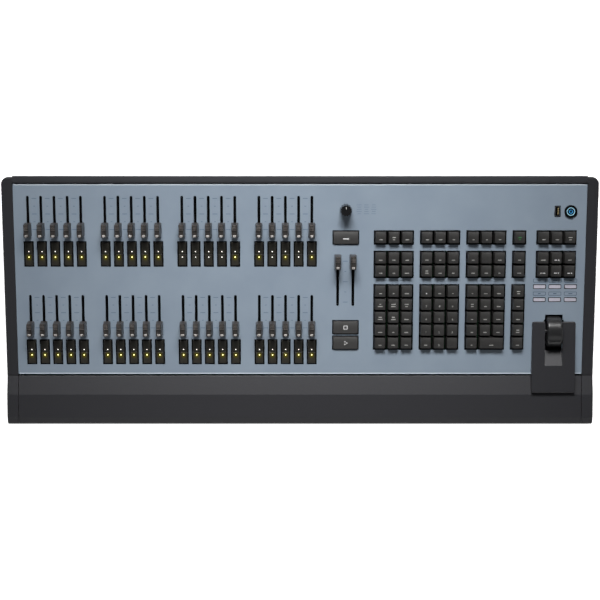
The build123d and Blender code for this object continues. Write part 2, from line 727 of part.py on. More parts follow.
# ---------------------------------------------------------------- dimmer knob, power button, front socket
with BuildPart(FACE) as dimmer_knob:
    with BuildSketch(FACE.offset(1.5)):
        with Locations(KNOB_AT):
            Circle(KNOB_RADIUS)
            with PolarLocations(KNOB_RADIUS + 0.6, 12):
                Circle(1.4, mode=Mode.SUBTRACT)
    extrude(amount=16.5, taper=2)
    with BuildSketch(FACE.offset(-9.5)):
        with Locations(KNOB_AT):
            Circle(AXLE_RADIUS)
    extrude(amount=12)
dimmer_knob.part.label = "dimmer_knob"
export_step(dimmer_knob.part, "parts/dimmer_knob.step")

BEZEL_RADIUS = 9.2
BUTTON_RADIUS = 7.0
with BuildPart() as power_button:
    with BuildSketch(FACE.offset(-4)):
        with Locations(POWER_AT):
            Circle(BUTTON_RADIUS)
    extrude(amount=5.2)
    with BuildSketch(FACE.offset(-12)):
        with Locations(POWER_AT):
            Circle(2)
    extrude(amount=8)
power_button.part.label = "power_button"
export_step(power_button.part, "parts/power_button.step")

with BuildPart() as panel_fittings:
    # Power button's collar and threaded case.
    with BuildSketch(FACE):
        with Locations(POWER_AT):
            Circle(BEZEL_RADIUS)
    extrude(amount=1.8)
    with BuildSketch(FACE.offset(-16)):
        with Locations(POWER_AT):
            Circle(8)
    extrude(amount=16)
    with BuildSketch(FACE.offset(-8)):
        with Locations(POWER_AT):
            Circle(BUTTON_RADIUS + 0.3)
    extrude(amount=12, mode=Mode.SUBTRACT)
    with BuildSketch(FACE.offset(-15)):
        with Locations(POWER_AT):
            Circle(2.4)
    extrude(amount=12, mode=Mode.SUBTRACT)
    # Data socket, turned to stand up the face.
    with BuildSketch(FACE.offset(-15)):
        with Locations(USB_AT):
            Rectangle(8.7, 15.9)
    extrude(amount=15.3)
    with BuildSketch(FACE.offset(-13)):
        with Locations(USB_AT):
            Rectangle(5.2, 12.6)
    extrude(amount=14, mode=Mode.SUBTRACT)
    with BuildSketch(FACE.offset(-13)):
        with Locations((USB_AT[0] + 1, USB_AT[1])):
            Rectangle(1.9, 11.2)
    extrude(amount=12)
panel_fittings.part.label = "panel_fittings"
export_step(panel_fittings.part, "parts/panel_fittings.step")

# ---------------------------------------------------------------- rear panel and its sockets
# Places along the rear panel are measured to the right, as seen by a person standing behind the desk.
FLANGE = (26.0, 31.0)
SOCKET_BARREL = 11.6
OUTPUT_X = (-150.0, -110.0)
LAMP_X = (-385.0, 385.0)
NETWORK_X = -60.0
REMOTE_X = -205.0
USB_X = (20.0, 44.0)
VIDEO_X = (90.0, 124.0)
INLET_X = 300.0
INLET_BODY = (50.0, 28.0)
INLET_FLANGE = (58.0, 34.0)
ROUND_SOCKETS = [(x, SOCKET_Z) for x in OUTPUT_X + (NETWORK_X,)] + [(x, 58.0) for x in LAMP_X]
USB_REAR = [(x, z) for x in USB_X for z in (38.0, 50.0)]

with BuildPart() as rear_panel:
    with BuildSketch(REAR_OUTSIDE.offset(-SHEET)):
        with Locations((0, (FOOT_HEIGHT + REAR_PANEL_TOP) / 2)):
            Rectangle(2 * INNER_HALF - 0.4, REAR_PANEL_TOP - FOOT_HEIGHT)
        with Locations(*ROUND_SOCKETS):
            Circle(12, mode=Mode.SUBTRACT)
        with Locations(*USB_REAR):
            Rectangle(14, 7, mode=Mode.SUBTRACT)
        with Locations(*[(x, SOCKET_Z) for x in VIDEO_X]):
            Rectangle(20, 9, mode=Mode.SUBTRACT)
        with Locations((REMOTE_X, SOCKET_Z)):
            Rectangle(26, 13, mode=Mode.SUBTRACT)
        with Locations((INLET_X, SOCKET_Z)):
            Rectangle(INLET_BODY[0] + 0.4, INLET_BODY[1] + 0.4, mode=Mode.SUBTRACT)
        with Locations(*SCREW_SPOTS):
            Circle(1.6, mode=Mode.SUBTRACT)
        with Locations((-300, 72), (210, 72)):
            with GridLocations(9, 0, 10, 1):
                SlotOverall(20, 3.4, rotation=90, mode=Mode.SUBTRACT)
    extrude(amount=SHEET)
rear_panel.part.label = "rear_panel"
export_step(rear_panel.part, "parts/rear_panel.step")

with BuildPart() as rear_sockets:
    # Round sockets on square flanges: outputs, desk lamps and network.
    with BuildSketch(REAR_OUTSIDE):
        with Locations(*ROUND_SOCKETS):
            RectangleRounded(*FLANGE, 2)
    extrude(amount=2.2)
    with BuildSketch(REAR_OUTSIDE.offset(-20)):
        with Locations(*ROUND_SOCKETS):
            Circle(SOCKET_BARREL)
    extrude(amount=20)
    with BuildSketch(REAR_OUTSIDE.offset(-8)):
        with Locations(*[(x, SOCKET_Z) for x in OUTPUT_X]):
            with PolarLocations(5, 5):
                Circle(1.3)
        with Locations(*[(x, 58.0) for x in LAMP_X]):
            with PolarLocations(5, 3):
                Circle(1.5)
    extrude(amount=12, mode=Mode.SUBTRACT)
    with BuildSketch(REAR_OUTSIDE.offset(-14)):
        with Locations((NETWORK_X, SOCKET_Z)):
            Rectangle(11.8, 8.4)
    extrude(amount=20, mode=Mode.SUBTRACT)
    # Data, video and remote sockets pass through the sheet.
    with BuildSketch(REAR_OUTSIDE.offset(-16)):
        with Locations(*USB_REAR):
            Rectangle(13.6, 6.6)
        with Locations(*[(x, SOCKET_Z) for x in VIDEO_X]):
            Rectangle(19.6, 8.6)
        with Locations((REMOTE_X, SOCKET_Z)):
            Rectangle(25.6, 12.6)
    extrude(amount=17)
    with BuildSketch(REAR_OUTSIDE.offset(-11)):
        with Locations(*USB_REAR):
            Rectangle(12, 4.8)
            Rectangle(10.8, 1.8, mode=Mode.SUBTRACT)
        with Locations(*[(x, SOCKET_Z) for x in VIDEO_X]):
            Rectangle(16.4, 5)
            Rectangle(13.4, 2, mode=Mode.SUBTRACT)
    extrude(amount=14, mode=Mode.SUBTRACT)
    with BuildSketch(REAR_OUTSIDE.offset(-6)):
        with Locations((REMOTE_X, SOCKET_Z)):
            with GridLocations(2.8, 2.8, 7, 2):
                Circle(0.6)
    extrude(amount=9, mode=Mode.SUBTRACT)
rear_sockets.part.label = "rear_sockets"
export_step(rear_sockets.part, "parts/rear_sockets.step")

INLET_MOUTH = (INLET_X - 10.0, SOCKET_Z)
ROCKER_AT = (INLET_X + 15.5, SOCKET_Z)
with BuildPart() as mains_inlet:
    with BuildSketch(REAR_OUTSIDE):
        with Locations((INLET_X, SOCKET_Z)):
            RectangleRounded(*INLET_FLANGE, 2)
    extrude(amount=2.0)
    with BuildSketch(REAR_OUTSIDE.offset(-24)):
        with Locations((INLET_X, SOCKET_Z)):
            Rectangle(*INLET_BODY)
    extrude(amount=24)
    with BuildSketch(REAR_OUTSIDE.offset(-16)):
        with Locations(INLET_MOUTH):
            Rectangle(24, 19)
    extrude(amount=20, mode=Mode.SUBTRACT)
    with BuildSketch(REAR_OUTSIDE.offset(-16)):
        with Locations(INLET_MOUTH):
            with Locations((-7, -2), (7, -2), (0, 3)):
                Rectangle(2, 4)
    extrude(amount=14)
    with BuildSketch(REAR_OUTSIDE.offset(-14)):
        with Locations(ROCKER_AT):
            Rectangle(11.2, 20.2)
    extrude(amount=20, mode=Mode.SUBTRACT)
mains_inlet.part.label = "mains_inlet"
export_step(mains_inlet.part, "parts/mains_inlet.step")

# The rocker turns on a line across its middle, and is drawn level.
ROCKER_PIVOT = (REAR_PANEL_Y - 4.0, SOCKET_Z)
with BuildPart() as mains_rocker:
    with BuildSketch(Plane.YZ.offset(-ROCKER_AT[0] - 5.2)):
        with Locations(ROCKER_PIVOT):
            Circle(4)
        with BuildLine():
            Polyline(
                (ROCKER_PIVOT[0], ROCKER_PIVOT[1] - 8.6),
                (ROCKER_PIVOT[0] + 6.2, ROCKER_PIVOT[1] - 8.6),
                (ROCKER_PIVOT[0] + 4.6, ROCKER_PIVOT[1]),
                (ROCKER_PIVOT[0] + 6.2, ROCKER_PIVOT[1] + 8.6),
                (ROCKER_PIVOT[0], ROCKER_PIVOT[1] + 8.6),
                close=True,
            )
        make_face()
    extrude(amount=10.4)
mains_rocker.part.label = "mains_rocker"
export_step(mains_rocker.part, "parts/mains_rocker.step")

with BuildPart() as rear_screws:
    with BuildSketch(REAR_OUTSIDE):
        with Locations(*SCREW_SPOTS):
            Circle(2.8)
    extrude(amount=1.8)
    with BuildSketch(REAR_OUTSIDE.offset(-5)):
        with Locations(*SCREW_SPOTS):
            Circle(1.5)
    extrude(amount=5)
rear_screws.part.label = "rear_screws"
export_step(rear_screws.part, "parts/rear_screws.step")
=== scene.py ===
# %% [markdown]
# # A lighting control desk
# The desk is a shallow tray with a sloping steel face. The frame below holds every solid part of it,
# already in place and at its real size. This lesson gives those parts their edges and finishes, then
# adds what is too thin for a solid: the printed marks, the key legends and the small lamps.

# %% Load the frame
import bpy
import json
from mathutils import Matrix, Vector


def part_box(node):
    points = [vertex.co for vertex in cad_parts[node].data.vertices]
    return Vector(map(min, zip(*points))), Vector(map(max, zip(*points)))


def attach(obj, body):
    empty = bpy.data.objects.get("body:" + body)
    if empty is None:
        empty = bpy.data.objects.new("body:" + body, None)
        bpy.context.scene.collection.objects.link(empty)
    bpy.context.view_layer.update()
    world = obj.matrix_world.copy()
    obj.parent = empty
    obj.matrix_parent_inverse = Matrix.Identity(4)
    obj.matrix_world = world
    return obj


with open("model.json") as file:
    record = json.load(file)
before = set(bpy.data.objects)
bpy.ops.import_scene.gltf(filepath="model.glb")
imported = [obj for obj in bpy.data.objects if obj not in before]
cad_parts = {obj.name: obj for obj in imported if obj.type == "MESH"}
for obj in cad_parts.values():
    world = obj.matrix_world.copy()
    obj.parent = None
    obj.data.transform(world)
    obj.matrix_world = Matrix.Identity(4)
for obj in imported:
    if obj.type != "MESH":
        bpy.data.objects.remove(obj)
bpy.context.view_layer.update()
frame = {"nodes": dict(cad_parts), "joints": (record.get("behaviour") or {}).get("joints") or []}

# %% Imports and units
import json
import math

import bmesh
import bpy
from mathutils import Matrix, Vector

MM = 0.001
nodes = frame["nodes"]
print("first pieces:", sorted(nodes)[:5])

# %% [markdown]
# ## The face as a drawing board
# Nearly everything stands on the sloping face. So it is easiest to place things by their distance
# across the face, up the face and out of it, and to let one matrix turn those into the room's own
# directions. The slope comes from a fader's joint, which slides up the face, and the front edge comes
# from the panel's own box.

# %% Face coordinates
slide = next(j for j in frame["joints"] if j["name"] == "lower_faders_1_slide")
UP_FACE = Vector(slide["axis"]).normalized()
ACROSS = Vector((1, 0, 0))
OUT = ACROSS.cross(UP_FACE)
SHEET = 2.0 * MM

panel_low, panel_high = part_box("face_panel")
rear_y = panel_high.y - SHEET * UP_FACE.z
front_z = panel_high.z - (rear_y - panel_low.y) * UP_FACE.z / UP_FACE.y
FACE = Matrix((ACROSS, UP_FACE, OUT)).transposed().to_4x4()
FACE.translation = Vector((0, panel_low.y, front_z))
TO_FACE = FACE.inverted()
print("slope in degrees:", round(math.degrees(math.asin(UP_FACE.z)), 2))


def face_box(name):
    """Lowest and highest corner of a solid piece, measured across, up and out of the face."""
    points = [TO_FACE @ v.co for v in nodes[name].data.vertices]
    low = Vector(min(p[i] for p in points) for i in range(3))
    high = Vector(max(p[i] for p in points) for i in range(3))
    return low, high


# %% [markdown]
# ## Keys, caps and buttons stand on one grid
# Desk makers space keys and faders three quarters of an inch apart. Knowing the grid and one cap's
# size, the middle of every cap in a block follows from the block's extent alone.

# %% The grid
PITCH = 19.05 * MM


def grid(name, cap_width, cap_length, pitch_up=PITCH):
    """Middles of the caps in a piece, lowest row first."""
    low, high = face_box(name)
    across = round((high.x - low.x - cap_width) / PITCH) + 1
    up = round((high.y - low.y - cap_length) / pitch_up) + 1
    left = low.x + cap_width / 2
    bottom = low.y + cap_length / 2
    return [[(left + i * PITCH, bottom + j * pitch_up) for i in range(across)] for j in range(up)]


KEY = 17.4 * MM
print("rows of number keys:", len(grid("number_keys_lower", KEY, KEY)))

# %% [markdown]
# ## Softening edges
# No real edge is a line. Paint rounds the corner of a bent sheet, and a mould leaves a small radius.
# The solids arrive as triangles with their corners split, so a weld joins them first. Then a bevel
# rounds each corner by the radius that its maker would leave, and weighted normals keep the flats flat.

# %% Edge helper
def soften(name, radius_mm, segments=2, angle=35):
    """Rounds the corners of a solid piece by its real edge radius."""
    piece = nodes[name]
    weld = piece.modifiers.new("Join corners", "WELD")
    weld.merge_threshold = 0.005 * MM
    bevel = piece.modifiers.new("Edge radius", "BEVEL")
    bevel.width = radius_mm * MM
    bevel.segments = segments
    bevel.limit_method = "ANGLE"
    bevel.angle_limit = math.radians(angle)
    bevel.use_clamp_overlap = True
    normals = piece.modifiers.new("Flat faces", "WEIGHTED_NORMAL")
    normals.keep_sharp = True


# %% [markdown]
# ## Colour and nodes
# Colours are written as they are on screen, in sRGB hex, and one function turns them linear. Another
# adds one node with its settings and its links, which is all that the finishes below need.

# %% Colour and node helpers
def linear(hex_colour):
    """A screen colour such as #8090a0 as linear red, green, blue and alpha."""
    parts = [int(hex_colour[i:i + 2], 16) / 255 for i in (1, 3, 5)]
    return [p / 12.92 if p <= 0.04045 else ((p + 0.055) / 1.055) ** 2.4 for p in parts] + [1.0]


def add_node(material, kind, settings=None, inputs=None):
    """Adds a node; an input is a value, or a socket of another node to link from."""
    new = material.node_tree.nodes.new(kind)
    for key, value in (settings or {}).items():
        setattr(new, key, value)
    for key, value in (inputs or {}).items():
        if isinstance(value, bpy.types.NodeSocket):
            material.node_tree.links.new(value, new.inputs[key])
        else:
            new.inputs[key].default_value = value
    return new


def start_material(name):
    """An empty material with its output node, ready for a shader."""
    material = bpy.data.materials.new(name)
    material.use_nodes = True
    material.node_tree.nodes.clear()
    return material


def finish_material(material, shader):
    """Links the shader to the material's output."""
    add_node(material, "ShaderNodeOutputMaterial", {}, {"Surface": shader.outputs[0]})
    return material


def wear(name, piece_names, material):
    """Gives the same material to every slot of some solid pieces."""
    for piece_name in piece_names:
        data = nodes[piece_name].data
        data.materials.clear()
        data.materials.append(material)
    print(name, "on", len(piece_names), "pieces")


# %% [markdown]
# ## Blue-grey powder coat
# The face is folded steel with a baked polyester powder coat. The powder flows out into a faint
# orange peel, about 2 mm from crest to crest, which breaks up reflections. The pigment is even, so the
# colour varies by only a percent or two. Polyester has an IOR near 1.5.

# %% Powder coat
powder = start_material("Polyester powder coat, blue-grey satin")
where = add_node(powder, "ShaderNodeTexCoord")
PEEL_MM = 2.0
peel = add_node(powder, "ShaderNodeTexNoise", {}, {
    "Vector": where.outputs["Object"], "Scale": 1 / (PEEL_MM * MM), "Detail": 2.0})
cloud = add_node(powder, "ShaderNodeTexNoise", {}, {
    "Vector": where.outputs["Object"], "Scale": 1 / (60 * MM), "Detail": 3.0})
tone = add_node(powder, "ShaderNodeValToRGB", {}, {"Fac": cloud.outputs["Fac"]})
tone.color_ramp.elements[0].position = 0.3
tone.color_ramp.elements[0].color = linear("#808d9b")
tone.color_ramp.elements[1].position = 0.7
tone.color_ramp.elements[1].color = linear("#8794a1")
gloss = add_node(powder, "ShaderNodeMapRange", {}, {
    "Value": peel.outputs["Fac"], "To Min": 0.42, "To Max": 0.52})
relief = add_node(powder, "ShaderNodeBump", {}, {
    "Height": peel.outputs["Fac"], "Strength": 0.25, "Distance": 0.04 * MM})
coat = add_node(powder, "ShaderNodeBsdfPrincipled", {}, {
    "Base Color": tone.outputs["Color"], "Roughness": gloss.outputs["Result"],
    "IOR": 1.5, "Normal": relief.outputs["Normal"]})
finish_material(powder, coat)
wear("powder coat", ["face_panel"], powder)

# %% [markdown]
# ## Textured black ABS
# The end cheeks, the wrist rest and the wheel housing are moulded in ABS from spark-eroded tools.
# That leaves a fine stipple, about 0.5 mm from grain to grain. It is too fine for a whole-desk view,
# so a second, coarser stipple of 1.5 mm carries the look there. Black ABS looks dark grey with a broad
# soft shine, because the stipple spreads its reflections.

# %% Textured ABS
abs_black = start_material("Spark-textured ABS, black")
where = add_node(abs_black, "ShaderNodeTexCoord")
GRAIN_MM = 0.5
fine = add_node(abs_black, "ShaderNodeTexVoronoi", {}, {
    "Vector": where.outputs["Object"], "Scale": 1 / (GRAIN_MM * MM)})
coarse = add_node(abs_black, "ShaderNodeTexNoise", {}, {
    "Vector": where.outputs["Object"], "Scale": 1 / (3 * GRAIN_MM * MM), "Detail": 3.0})
stipple = add_node(abs_black, "ShaderNodeMath", {"operation": "ADD"}, {
    0: fine.outputs["Distance"], 1: coarse.outputs["Fac"]})
tone = add_node(abs_black, "ShaderNodeValToRGB", {}, {"Fac": coarse.outputs["Fac"]})
tone.color_ramp.elements[0].color = linear("#262629")
tone.color_ramp.elements[1].color = linear("#2d2d31")
gloss = add_node(abs_black, "ShaderNodeMapRange", {}, {
    "Value": coarse.outputs["Fac"], "To Min": 0.4, "To Max": 0.5})
relief = add_node(abs_black, "ShaderNodeBump", {}, {
    "Height": stipple.outputs[0], "Strength": 0.3, "Distance": 0.05 * MM})
plastic = add_node(abs_black, "ShaderNodeBsdfPrincipled", {}, {
    "Base Color": tone.outputs["Color"], "Roughness": gloss.outputs["Result"],
    "IOR": 1.53, "Normal": relief.outputs["Normal"]})
finish_material(abs_black, plastic)
wear("textured ABS", ["left_end_cheek", "right_end_cheek", "wrist_rest", "wheel_housing"], abs_black)
for name in ("left_end_cheek", "right_end_cheek"):
    soften(name, 0.6, segments=3)
soften("wrist_rest", 0.5, segments=3)
soften("wheel_housing", 0.5, segments=3)

# %% [markdown]
# ## Black painted metal
# The tray, the rear panel and the trim strip are painted black. Paint over rolled or extruded metal
# keeps a trace of the lines it was drawn with, so the noise is stretched along the desk's length.

# %% Painted metal
metal_paint = start_material("Satin black paint on drawn metal")
where = add_node(metal_paint, "ShaderNodeTexCoord")
drawn = add_node(metal_paint, "ShaderNodeMapping", {}, {
    "Vector": where.outputs["Object"], "Scale": (20.0, 900.0, 900.0)})
lines = add_node(metal_paint, "ShaderNodeTexNoise", {}, {"Vector": drawn.outputs[0], "Scale": 1.0})
tone = add_node(metal_paint, "ShaderNodeValToRGB", {}, {"Fac": lines.outputs["Fac"]})
tone.color_ramp.elements[0].color = linear("#27282b")
tone.color_ramp.elements[1].color = linear("#303135")
gloss = add_node(metal_paint, "ShaderNodeMapRange", {}, {
    "Value": lines.outputs["Fac"], "To Min": 0.38, "To Max": 0.48})
relief = add_node(metal_paint, "ShaderNodeBump", {}, {
    "Height": lines.outputs["Fac"], "Strength": 0.15, "Distance": 0.03 * MM})
paint = add_node(metal_paint, "ShaderNodeBsdfPrincipled", {}, {
    "Base Color": tone.outputs["Color"], "Roughness": gloss.outputs["Result"],
    "IOR": 1.5, "Normal": relief.outputs["Normal"]})
finish_material(metal_paint, paint)
wear("black paint", ["base_pan", "rear_panel", "rear_trim"], metal_paint)
soften("rear_trim", 0.5, segments=3)

# %% [markdown]
# ## Key caps
# The caps are moulded in PBT, a hard matt plastic that keyboards use because it doesn't polish with
# wear. It is dyed dark grey. A fine grain roughens it, and each cap gets a small corner radius.

# %% Key plastic
CAP_GRAIN_MM = 0.35
pbt = start_material("Moulded PBT, charcoal")
where = add_node(pbt, "ShaderNodeTexCoord")
grain = add_node(pbt, "ShaderNodeTexNoise", {}, {
    "Vector": where.outputs["Object"], "Scale": 1 / (CAP_GRAIN_MM * MM), "Detail": 2.0})
blotch = add_node(pbt, "ShaderNodeTexNoise", {}, {
    "Vector": where.outputs["Object"], "Scale": 1 / (9 * MM), "Detail": 2.0})
tone = add_node(pbt, "ShaderNodeValToRGB", {}, {"Fac": blotch.outputs["Fac"]})
tone.color_ramp.elements[0].color = linear("#252423")
tone.color_ramp.elements[1].color = linear("#302f2e")
gloss = add_node(pbt, "ShaderNodeMapRange", {}, {
    "Value": grain.outputs["Fac"], "To Min": 0.4, "To Max": 0.55})
relief = add_node(pbt, "ShaderNodeBump", {}, {
    "Height": grain.outputs["Fac"], "Strength": 0.2, "Distance": 0.03 * MM})
cap_shader = add_node(pbt, "ShaderNodeBsdfPrincipled", {}, {
    "Base Color": tone.outputs["Color"], "Roughness": gloss.outputs["Result"],
    "IOR": 1.57, "Normal": relief.outputs["Normal"]})
finish_material(pbt, cap_shader)

KEY_BLOCKS = sorted(name for name in nodes if "_keys_" in name)
LARGE_KEYS = ["master_key", "back_key", "go_key"]
wear("key plastic", KEY_BLOCKS, pbt)
for name in KEY_BLOCKS + LARGE_KEYS:
    soften(name, 0.45)

# %% [markdown]
# ## Fader caps, knob and wheel
# These are handled all evening, so they are moulded in a closer-grained black ABS that feels smooth
# and shines a little. The level wheel is polished most of all. The frames in the windows and the fader
# cases under the slots are matt black ABS, made darker than the plastic is so that their colour also
# paints the shade in the windows and slots. The rear sockets are a glass-filled nylon with a harder
# shine.

# %% Smooth ABS
def smooth_abs(name, dark, light, rough_low, rough_high, shine=0.5):
    """Close-grained black ABS; the two roughness values are its most and least polished spots."""
    material = start_material(name)
    place = add_node(material, "ShaderNodeTexCoord")
    smudge = add_node(material, "ShaderNodeTexNoise", {}, {
        "Vector": place.outputs["Object"], "Scale": 1 / (4 * MM), "Detail": 4.0})
    shade = add_node(material, "ShaderNodeValToRGB", {}, {"Fac": smudge.outputs["Fac"]})
    shade.color_ramp.elements[0].color = linear(dark)
    shade.color_ramp.elements[1].color = linear(light)
    polish = add_node(material, "ShaderNodeMapRange", {}, {
        "Value": smudge.outputs["Fac"], "To Min": rough_low, "To Max": rough_high})
    skin = add_node(material, "ShaderNodeBsdfPrincipled", {}, {
        "Base Color": shade.outputs["Color"], "Roughness": polish.outputs["Result"], "IOR": 1.53,
        "Specular IOR Level": shine})
    return finish_material(material, skin)


fader_abs = smooth_abs("Satin ABS, fader black", "#2e2b2a", "#3c3937", 0.3, 0.42)
knob_abs = smooth_abs("Gloss ABS, knob black", "#131314", "#1c1c1d", 0.16, 0.26)
wheel_abs = smooth_abs("Polished ABS, wheel black", "#232324", "#262627", 0.25, 0.28)
large_pbt = smooth_abs("Satin PBT, large keys", "#262524", "#2e2d2c", 0.46, 0.54, shine=1.0)
# Its near-black is partly the plastic's own black and partly painted shade in the windows and slots.
black_abs_and_painted_shade = smooth_abs("Matt ABS, deep black with painted shade", "#020203", "#060607", 0.5, 0.65, shine=0.12)

FADERS = sorted(name for name in nodes if "_faders_" in name or name.endswith("_fader"))
wear("satin ABS", FADERS, fader_abs)
wear("gloss ABS", ["dimmer_knob"], knob_abs)
wear("polished ABS", ["level_wheel"], wheel_abs)
wear("satin PBT", LARGE_KEYS, large_pbt)
wear("deep black ABS and painted shade", ["button_frames", "fader_bodies", "key_switches", "panel_fittings",
                        "power_button"], black_abs_and_painted_shade)
socket_nylon = smooth_abs("Glass-filled nylon, socket black", "#121214", "#1c1c1f", 0.22, 0.36)
wear("socket nylon", ["rear_sockets", "mains_inlet", "mains_rocker"], socket_nylon)
for name in FADERS + ["level_wheel"]:
    soften(name, 0.3)
soften("dimmer_knob", 0.8, segments=4)

# %% [markdown]
# ## Plain steel, board lacquer and rubber
# Zinc plating on the screws, brackets and fader cases is a metal, so it keeps the default IOR and
# takes a bluish tint. The boards have a green lacquer and the feet are matt rubber.

# %% Steel, lacquer, rubber
zinc = start_material("Zinc-plated steel")
where = add_node(zinc, "ShaderNodeTexCoord")
spangle = add_node(zinc, "ShaderNodeTexVoronoi", {}, {
    "Vector": where.outputs["Object"], "Scale": 1 / (3 * MM)})
polish = add_node(zinc, "ShaderNodeMapRange", {}, {
    "Value": spangle.outputs["Distance"], "To Min": 0.25, "To Max": 0.4})
plate = add_node(zinc, "ShaderNodeBsdfPrincipled", {}, {
    "Base Color": linear("#b9bcc0"), "Metallic": 1.0, "Roughness": polish.outputs["Result"]})
finish_material(zinc, plate)
wear("zinc", ["rear_screws", "wheel_bracket", "power_supply"], zinc)

lacquer = start_material("Green solder lacquer")
where = add_node(lacquer, "ShaderNodeTexCoord")
weave = add_node(lacquer, "ShaderNodeTexNoise", {}, {
    "Vector": where.outputs["Object"], "Scale": 1 / (2 * MM), "Detail": 3.0})
tone = add_node(lacquer, "ShaderNodeValToRGB", {}, {"Fac": weave.outputs["Fac"]})
tone.color_ramp.elements[0].color = linear("#0c2a18")
tone.color_ramp.elements[1].color = linear("#12381f")
board = add_node(lacquer, "ShaderNodeBsdfPrincipled", {}, {
    "Base Color": tone.outputs["Color"], "Roughness": 0.3, "IOR": 1.5})
finish_material(lacquer, board)
wear("lacquer", ["control_boards", "main_board"], lacquer)

foot_rubber = start_material("Matt rubber")
where = add_node(foot_rubber, "ShaderNodeTexCoord")
dust = add_node(foot_rubber, "ShaderNodeTexNoise", {}, {
    "Vector": where.outputs["Object"], "Scale": 1 / (1.5 * MM), "Detail": 4.0})
tone = add_node(foot_rubber, "ShaderNodeValToRGB", {}, {"Fac": dust.outputs["Fac"]})
tone.color_ramp.elements[0].color = linear("#141414")
tone.color_ramp.elements[1].color = linear("#202020")
pad = add_node(foot_rubber, "ShaderNodeBsdfPrincipled", {}, {
    "Base Color": tone.outputs["Color"], "Roughness": 0.8, "IOR": 1.52})
finish_material(foot_rubber, pad)
wear("rubber", ["rubber_feet"], foot_rubber)

# %% [markdown]
# ## Printed marks
# Ink is only a few hundredths of a millimetre thick. Each mark here is a thin closed tablet, sunk a
# little into the surface and standing just proud of it, so it never flickers through the paint. Marks
# are drawn as outlines of points in face coordinates, and all the marks of one piece are one mesh.

# %% Outlines
INK = 0.06 * MM
SUNK = 0.12 * MM


def rounded(width, height, radius, steps=3):
    """Outline of a rectangle with round corners."""
    points = []
    for sx, sy, start in [(1, 1, 0), (-1, 1, 90), (-1, -1, 180), (1, -1, 270)]:
        cx, cy = sx * (width / 2 - radius), sy * (height / 2 - radius)
        for step in range(steps + 1):
            turn = math.radians(start + 90 * step / steps)
            points.append((cx + radius * math.cos(turn), cy + radius * math.sin(turn)))
    return points


def pill(width, height):
    """Outline of a bar with round ends."""
    return rounded(width, height, min(width, height) / 2, steps=4)


def triangle(size, turn_degrees):
    """Outline of a pointer that aims up the face, turned by an angle."""
    return [
        (size / 2 * math.cos(math.radians(turn_degrees + a)),
         size / 2 * math.sin(math.radians(turn_degrees + a)))
        for a in (90, 210, 330)
    ]


print("a bar's outline has", len(pill(4 * MM, MM)), "points")


# %% Ink tablets
class Marks:
    """Collects thin tablets and rings in face coordinates, then makes one mesh of them."""

    def __init__(self, height):
        self.mesh = bmesh.new()
        self.height = height

    def base(self, x, y):
        """The surface below the mark; height is a number or a function of the place."""
        return self.height(x, y) if callable(self.height) else self.height

    def lift(self, x, y, above):
        """One corner of a mark."""
        return self.mesh.verts.new(FACE @ Vector((x, y, self.base(x, y) + above)))

    def tablet(self, outline, centre):
        """A filled mark."""
        places = [(centre[0] + x, centre[1] + y) for x, y in outline]
        top = [self.lift(x, y, INK) for x, y in places]
        bottom = [self.lift(x, y, -SUNK) for x, y in places]
        self.mesh.faces.new(top)
        self.mesh.faces.new(list(reversed(bottom)))
        for i in range(len(top)):
            j = (i + 1) % len(top)
            self.mesh.faces.new((top[i], bottom[i], bottom[j], top[j]))

    def ring(self, outer, inner, centre):
        """A mark with a hole, from two outlines with the same number of points."""
        rows = []
        for outline, above in ((outer, INK), (inner, INK), (inner, -SUNK), (outer, -SUNK)):
            rows.append([self.lift(centre[0] + x, centre[1] + y, above) for x, y in outline])
        count = len(outer)
        for first, second in zip(rows, rows[1:] + rows[:1]):
            for i in range(count):
                j = (i + 1) % count
                self.mesh.faces.new((first[i], first[j], second[j], second[i]))

    def glyph(self, letter, size, centre):
        """A digit or sign from Blender's own font, as thin as the other marks."""
        curve = bpy.data.curves.new("Glyph", "FONT")
        curve.body = letter
        curve.size = size
        curve.align_x = "CENTER"
        curve.align_y = "CENTER"
        curve.extrude = (INK + SUNK) / 2
        curve.resolution_u = 3
        holder = bpy.data.objects.new("Glyph", curve)
        bpy.context.scene.collection.objects.link(holder)
        bpy.context.view_layer.update()
        depsgraph = bpy.context.evaluated_depsgraph_get()
        shape = bpy.data.meshes.new_from_object(holder.evaluated_get(depsgraph))
        middle = (INK - SUNK) / 2
        for vertex in shape.vertices:
            x, y = centre[0] + vertex.co.x, centre[1] + vertex.co.y
            vertex.co = FACE @ Vector((x, y, self.base(x, y) + middle + vertex.co.z))
        self.mesh.from_mesh(shape)
        bpy.data.objects.remove(holder)
        bpy.data.curves.remove(curve)
        bpy.data.meshes.remove(shape)

    def build(self, name, material, body):
        """Makes the mesh object, gives it its finish and lets it ride on a body."""
        bmesh.ops.remove_doubles(self.mesh, verts=self.mesh.verts, dist=0.0005 * MM)
        bmesh.ops.recalc_face_normals(self.mesh, faces=self.mesh.faces)
        data = bpy.data.meshes.new(name)
        self.mesh.to_mesh(data)
        self.mesh.free()
        data.materials.append(material)
        piece = bpy.data.objects.new(name, data)
        bpy.context.scene.collection.objects.link(piece)
        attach(piece, body)
        print(name, "rides on", body, "with", len(data.polygons), "faces")
        return piece


# %% [markdown]
# ## Inks
# Screen ink is a flat, slightly chalky film. A fine noise stands for the mesh of the screen it was
# pressed through, at 0.3 mm.

# %% Ink materials
def screen_ink(name, dark, light, roughness):
    """Screen-printed ink between two close colours."""
    material = start_material(name)
    place = add_node(material, "ShaderNodeTexCoord")
    mesh_print = add_node(material, "ShaderNodeTexNoise", {}, {
        "Vector": place.outputs["Object"], "Scale": 1 / (0.3 * MM), "Detail": 1.0})
    shade = add_node(material, "ShaderNodeValToRGB", {}, {"Fac": mesh_print.outputs["Fac"]})
    shade.color_ramp.elements[0].color = linear(dark)
    shade.color_ramp.elements[1].color = linear(light)
    film = add_node(material, "ShaderNodeBsdfPrincipled", {}, {
        "Base Color": shade.outputs["Color"], "Roughness": roughness, "IOR": 1.5})
    return finish_material(material, film)


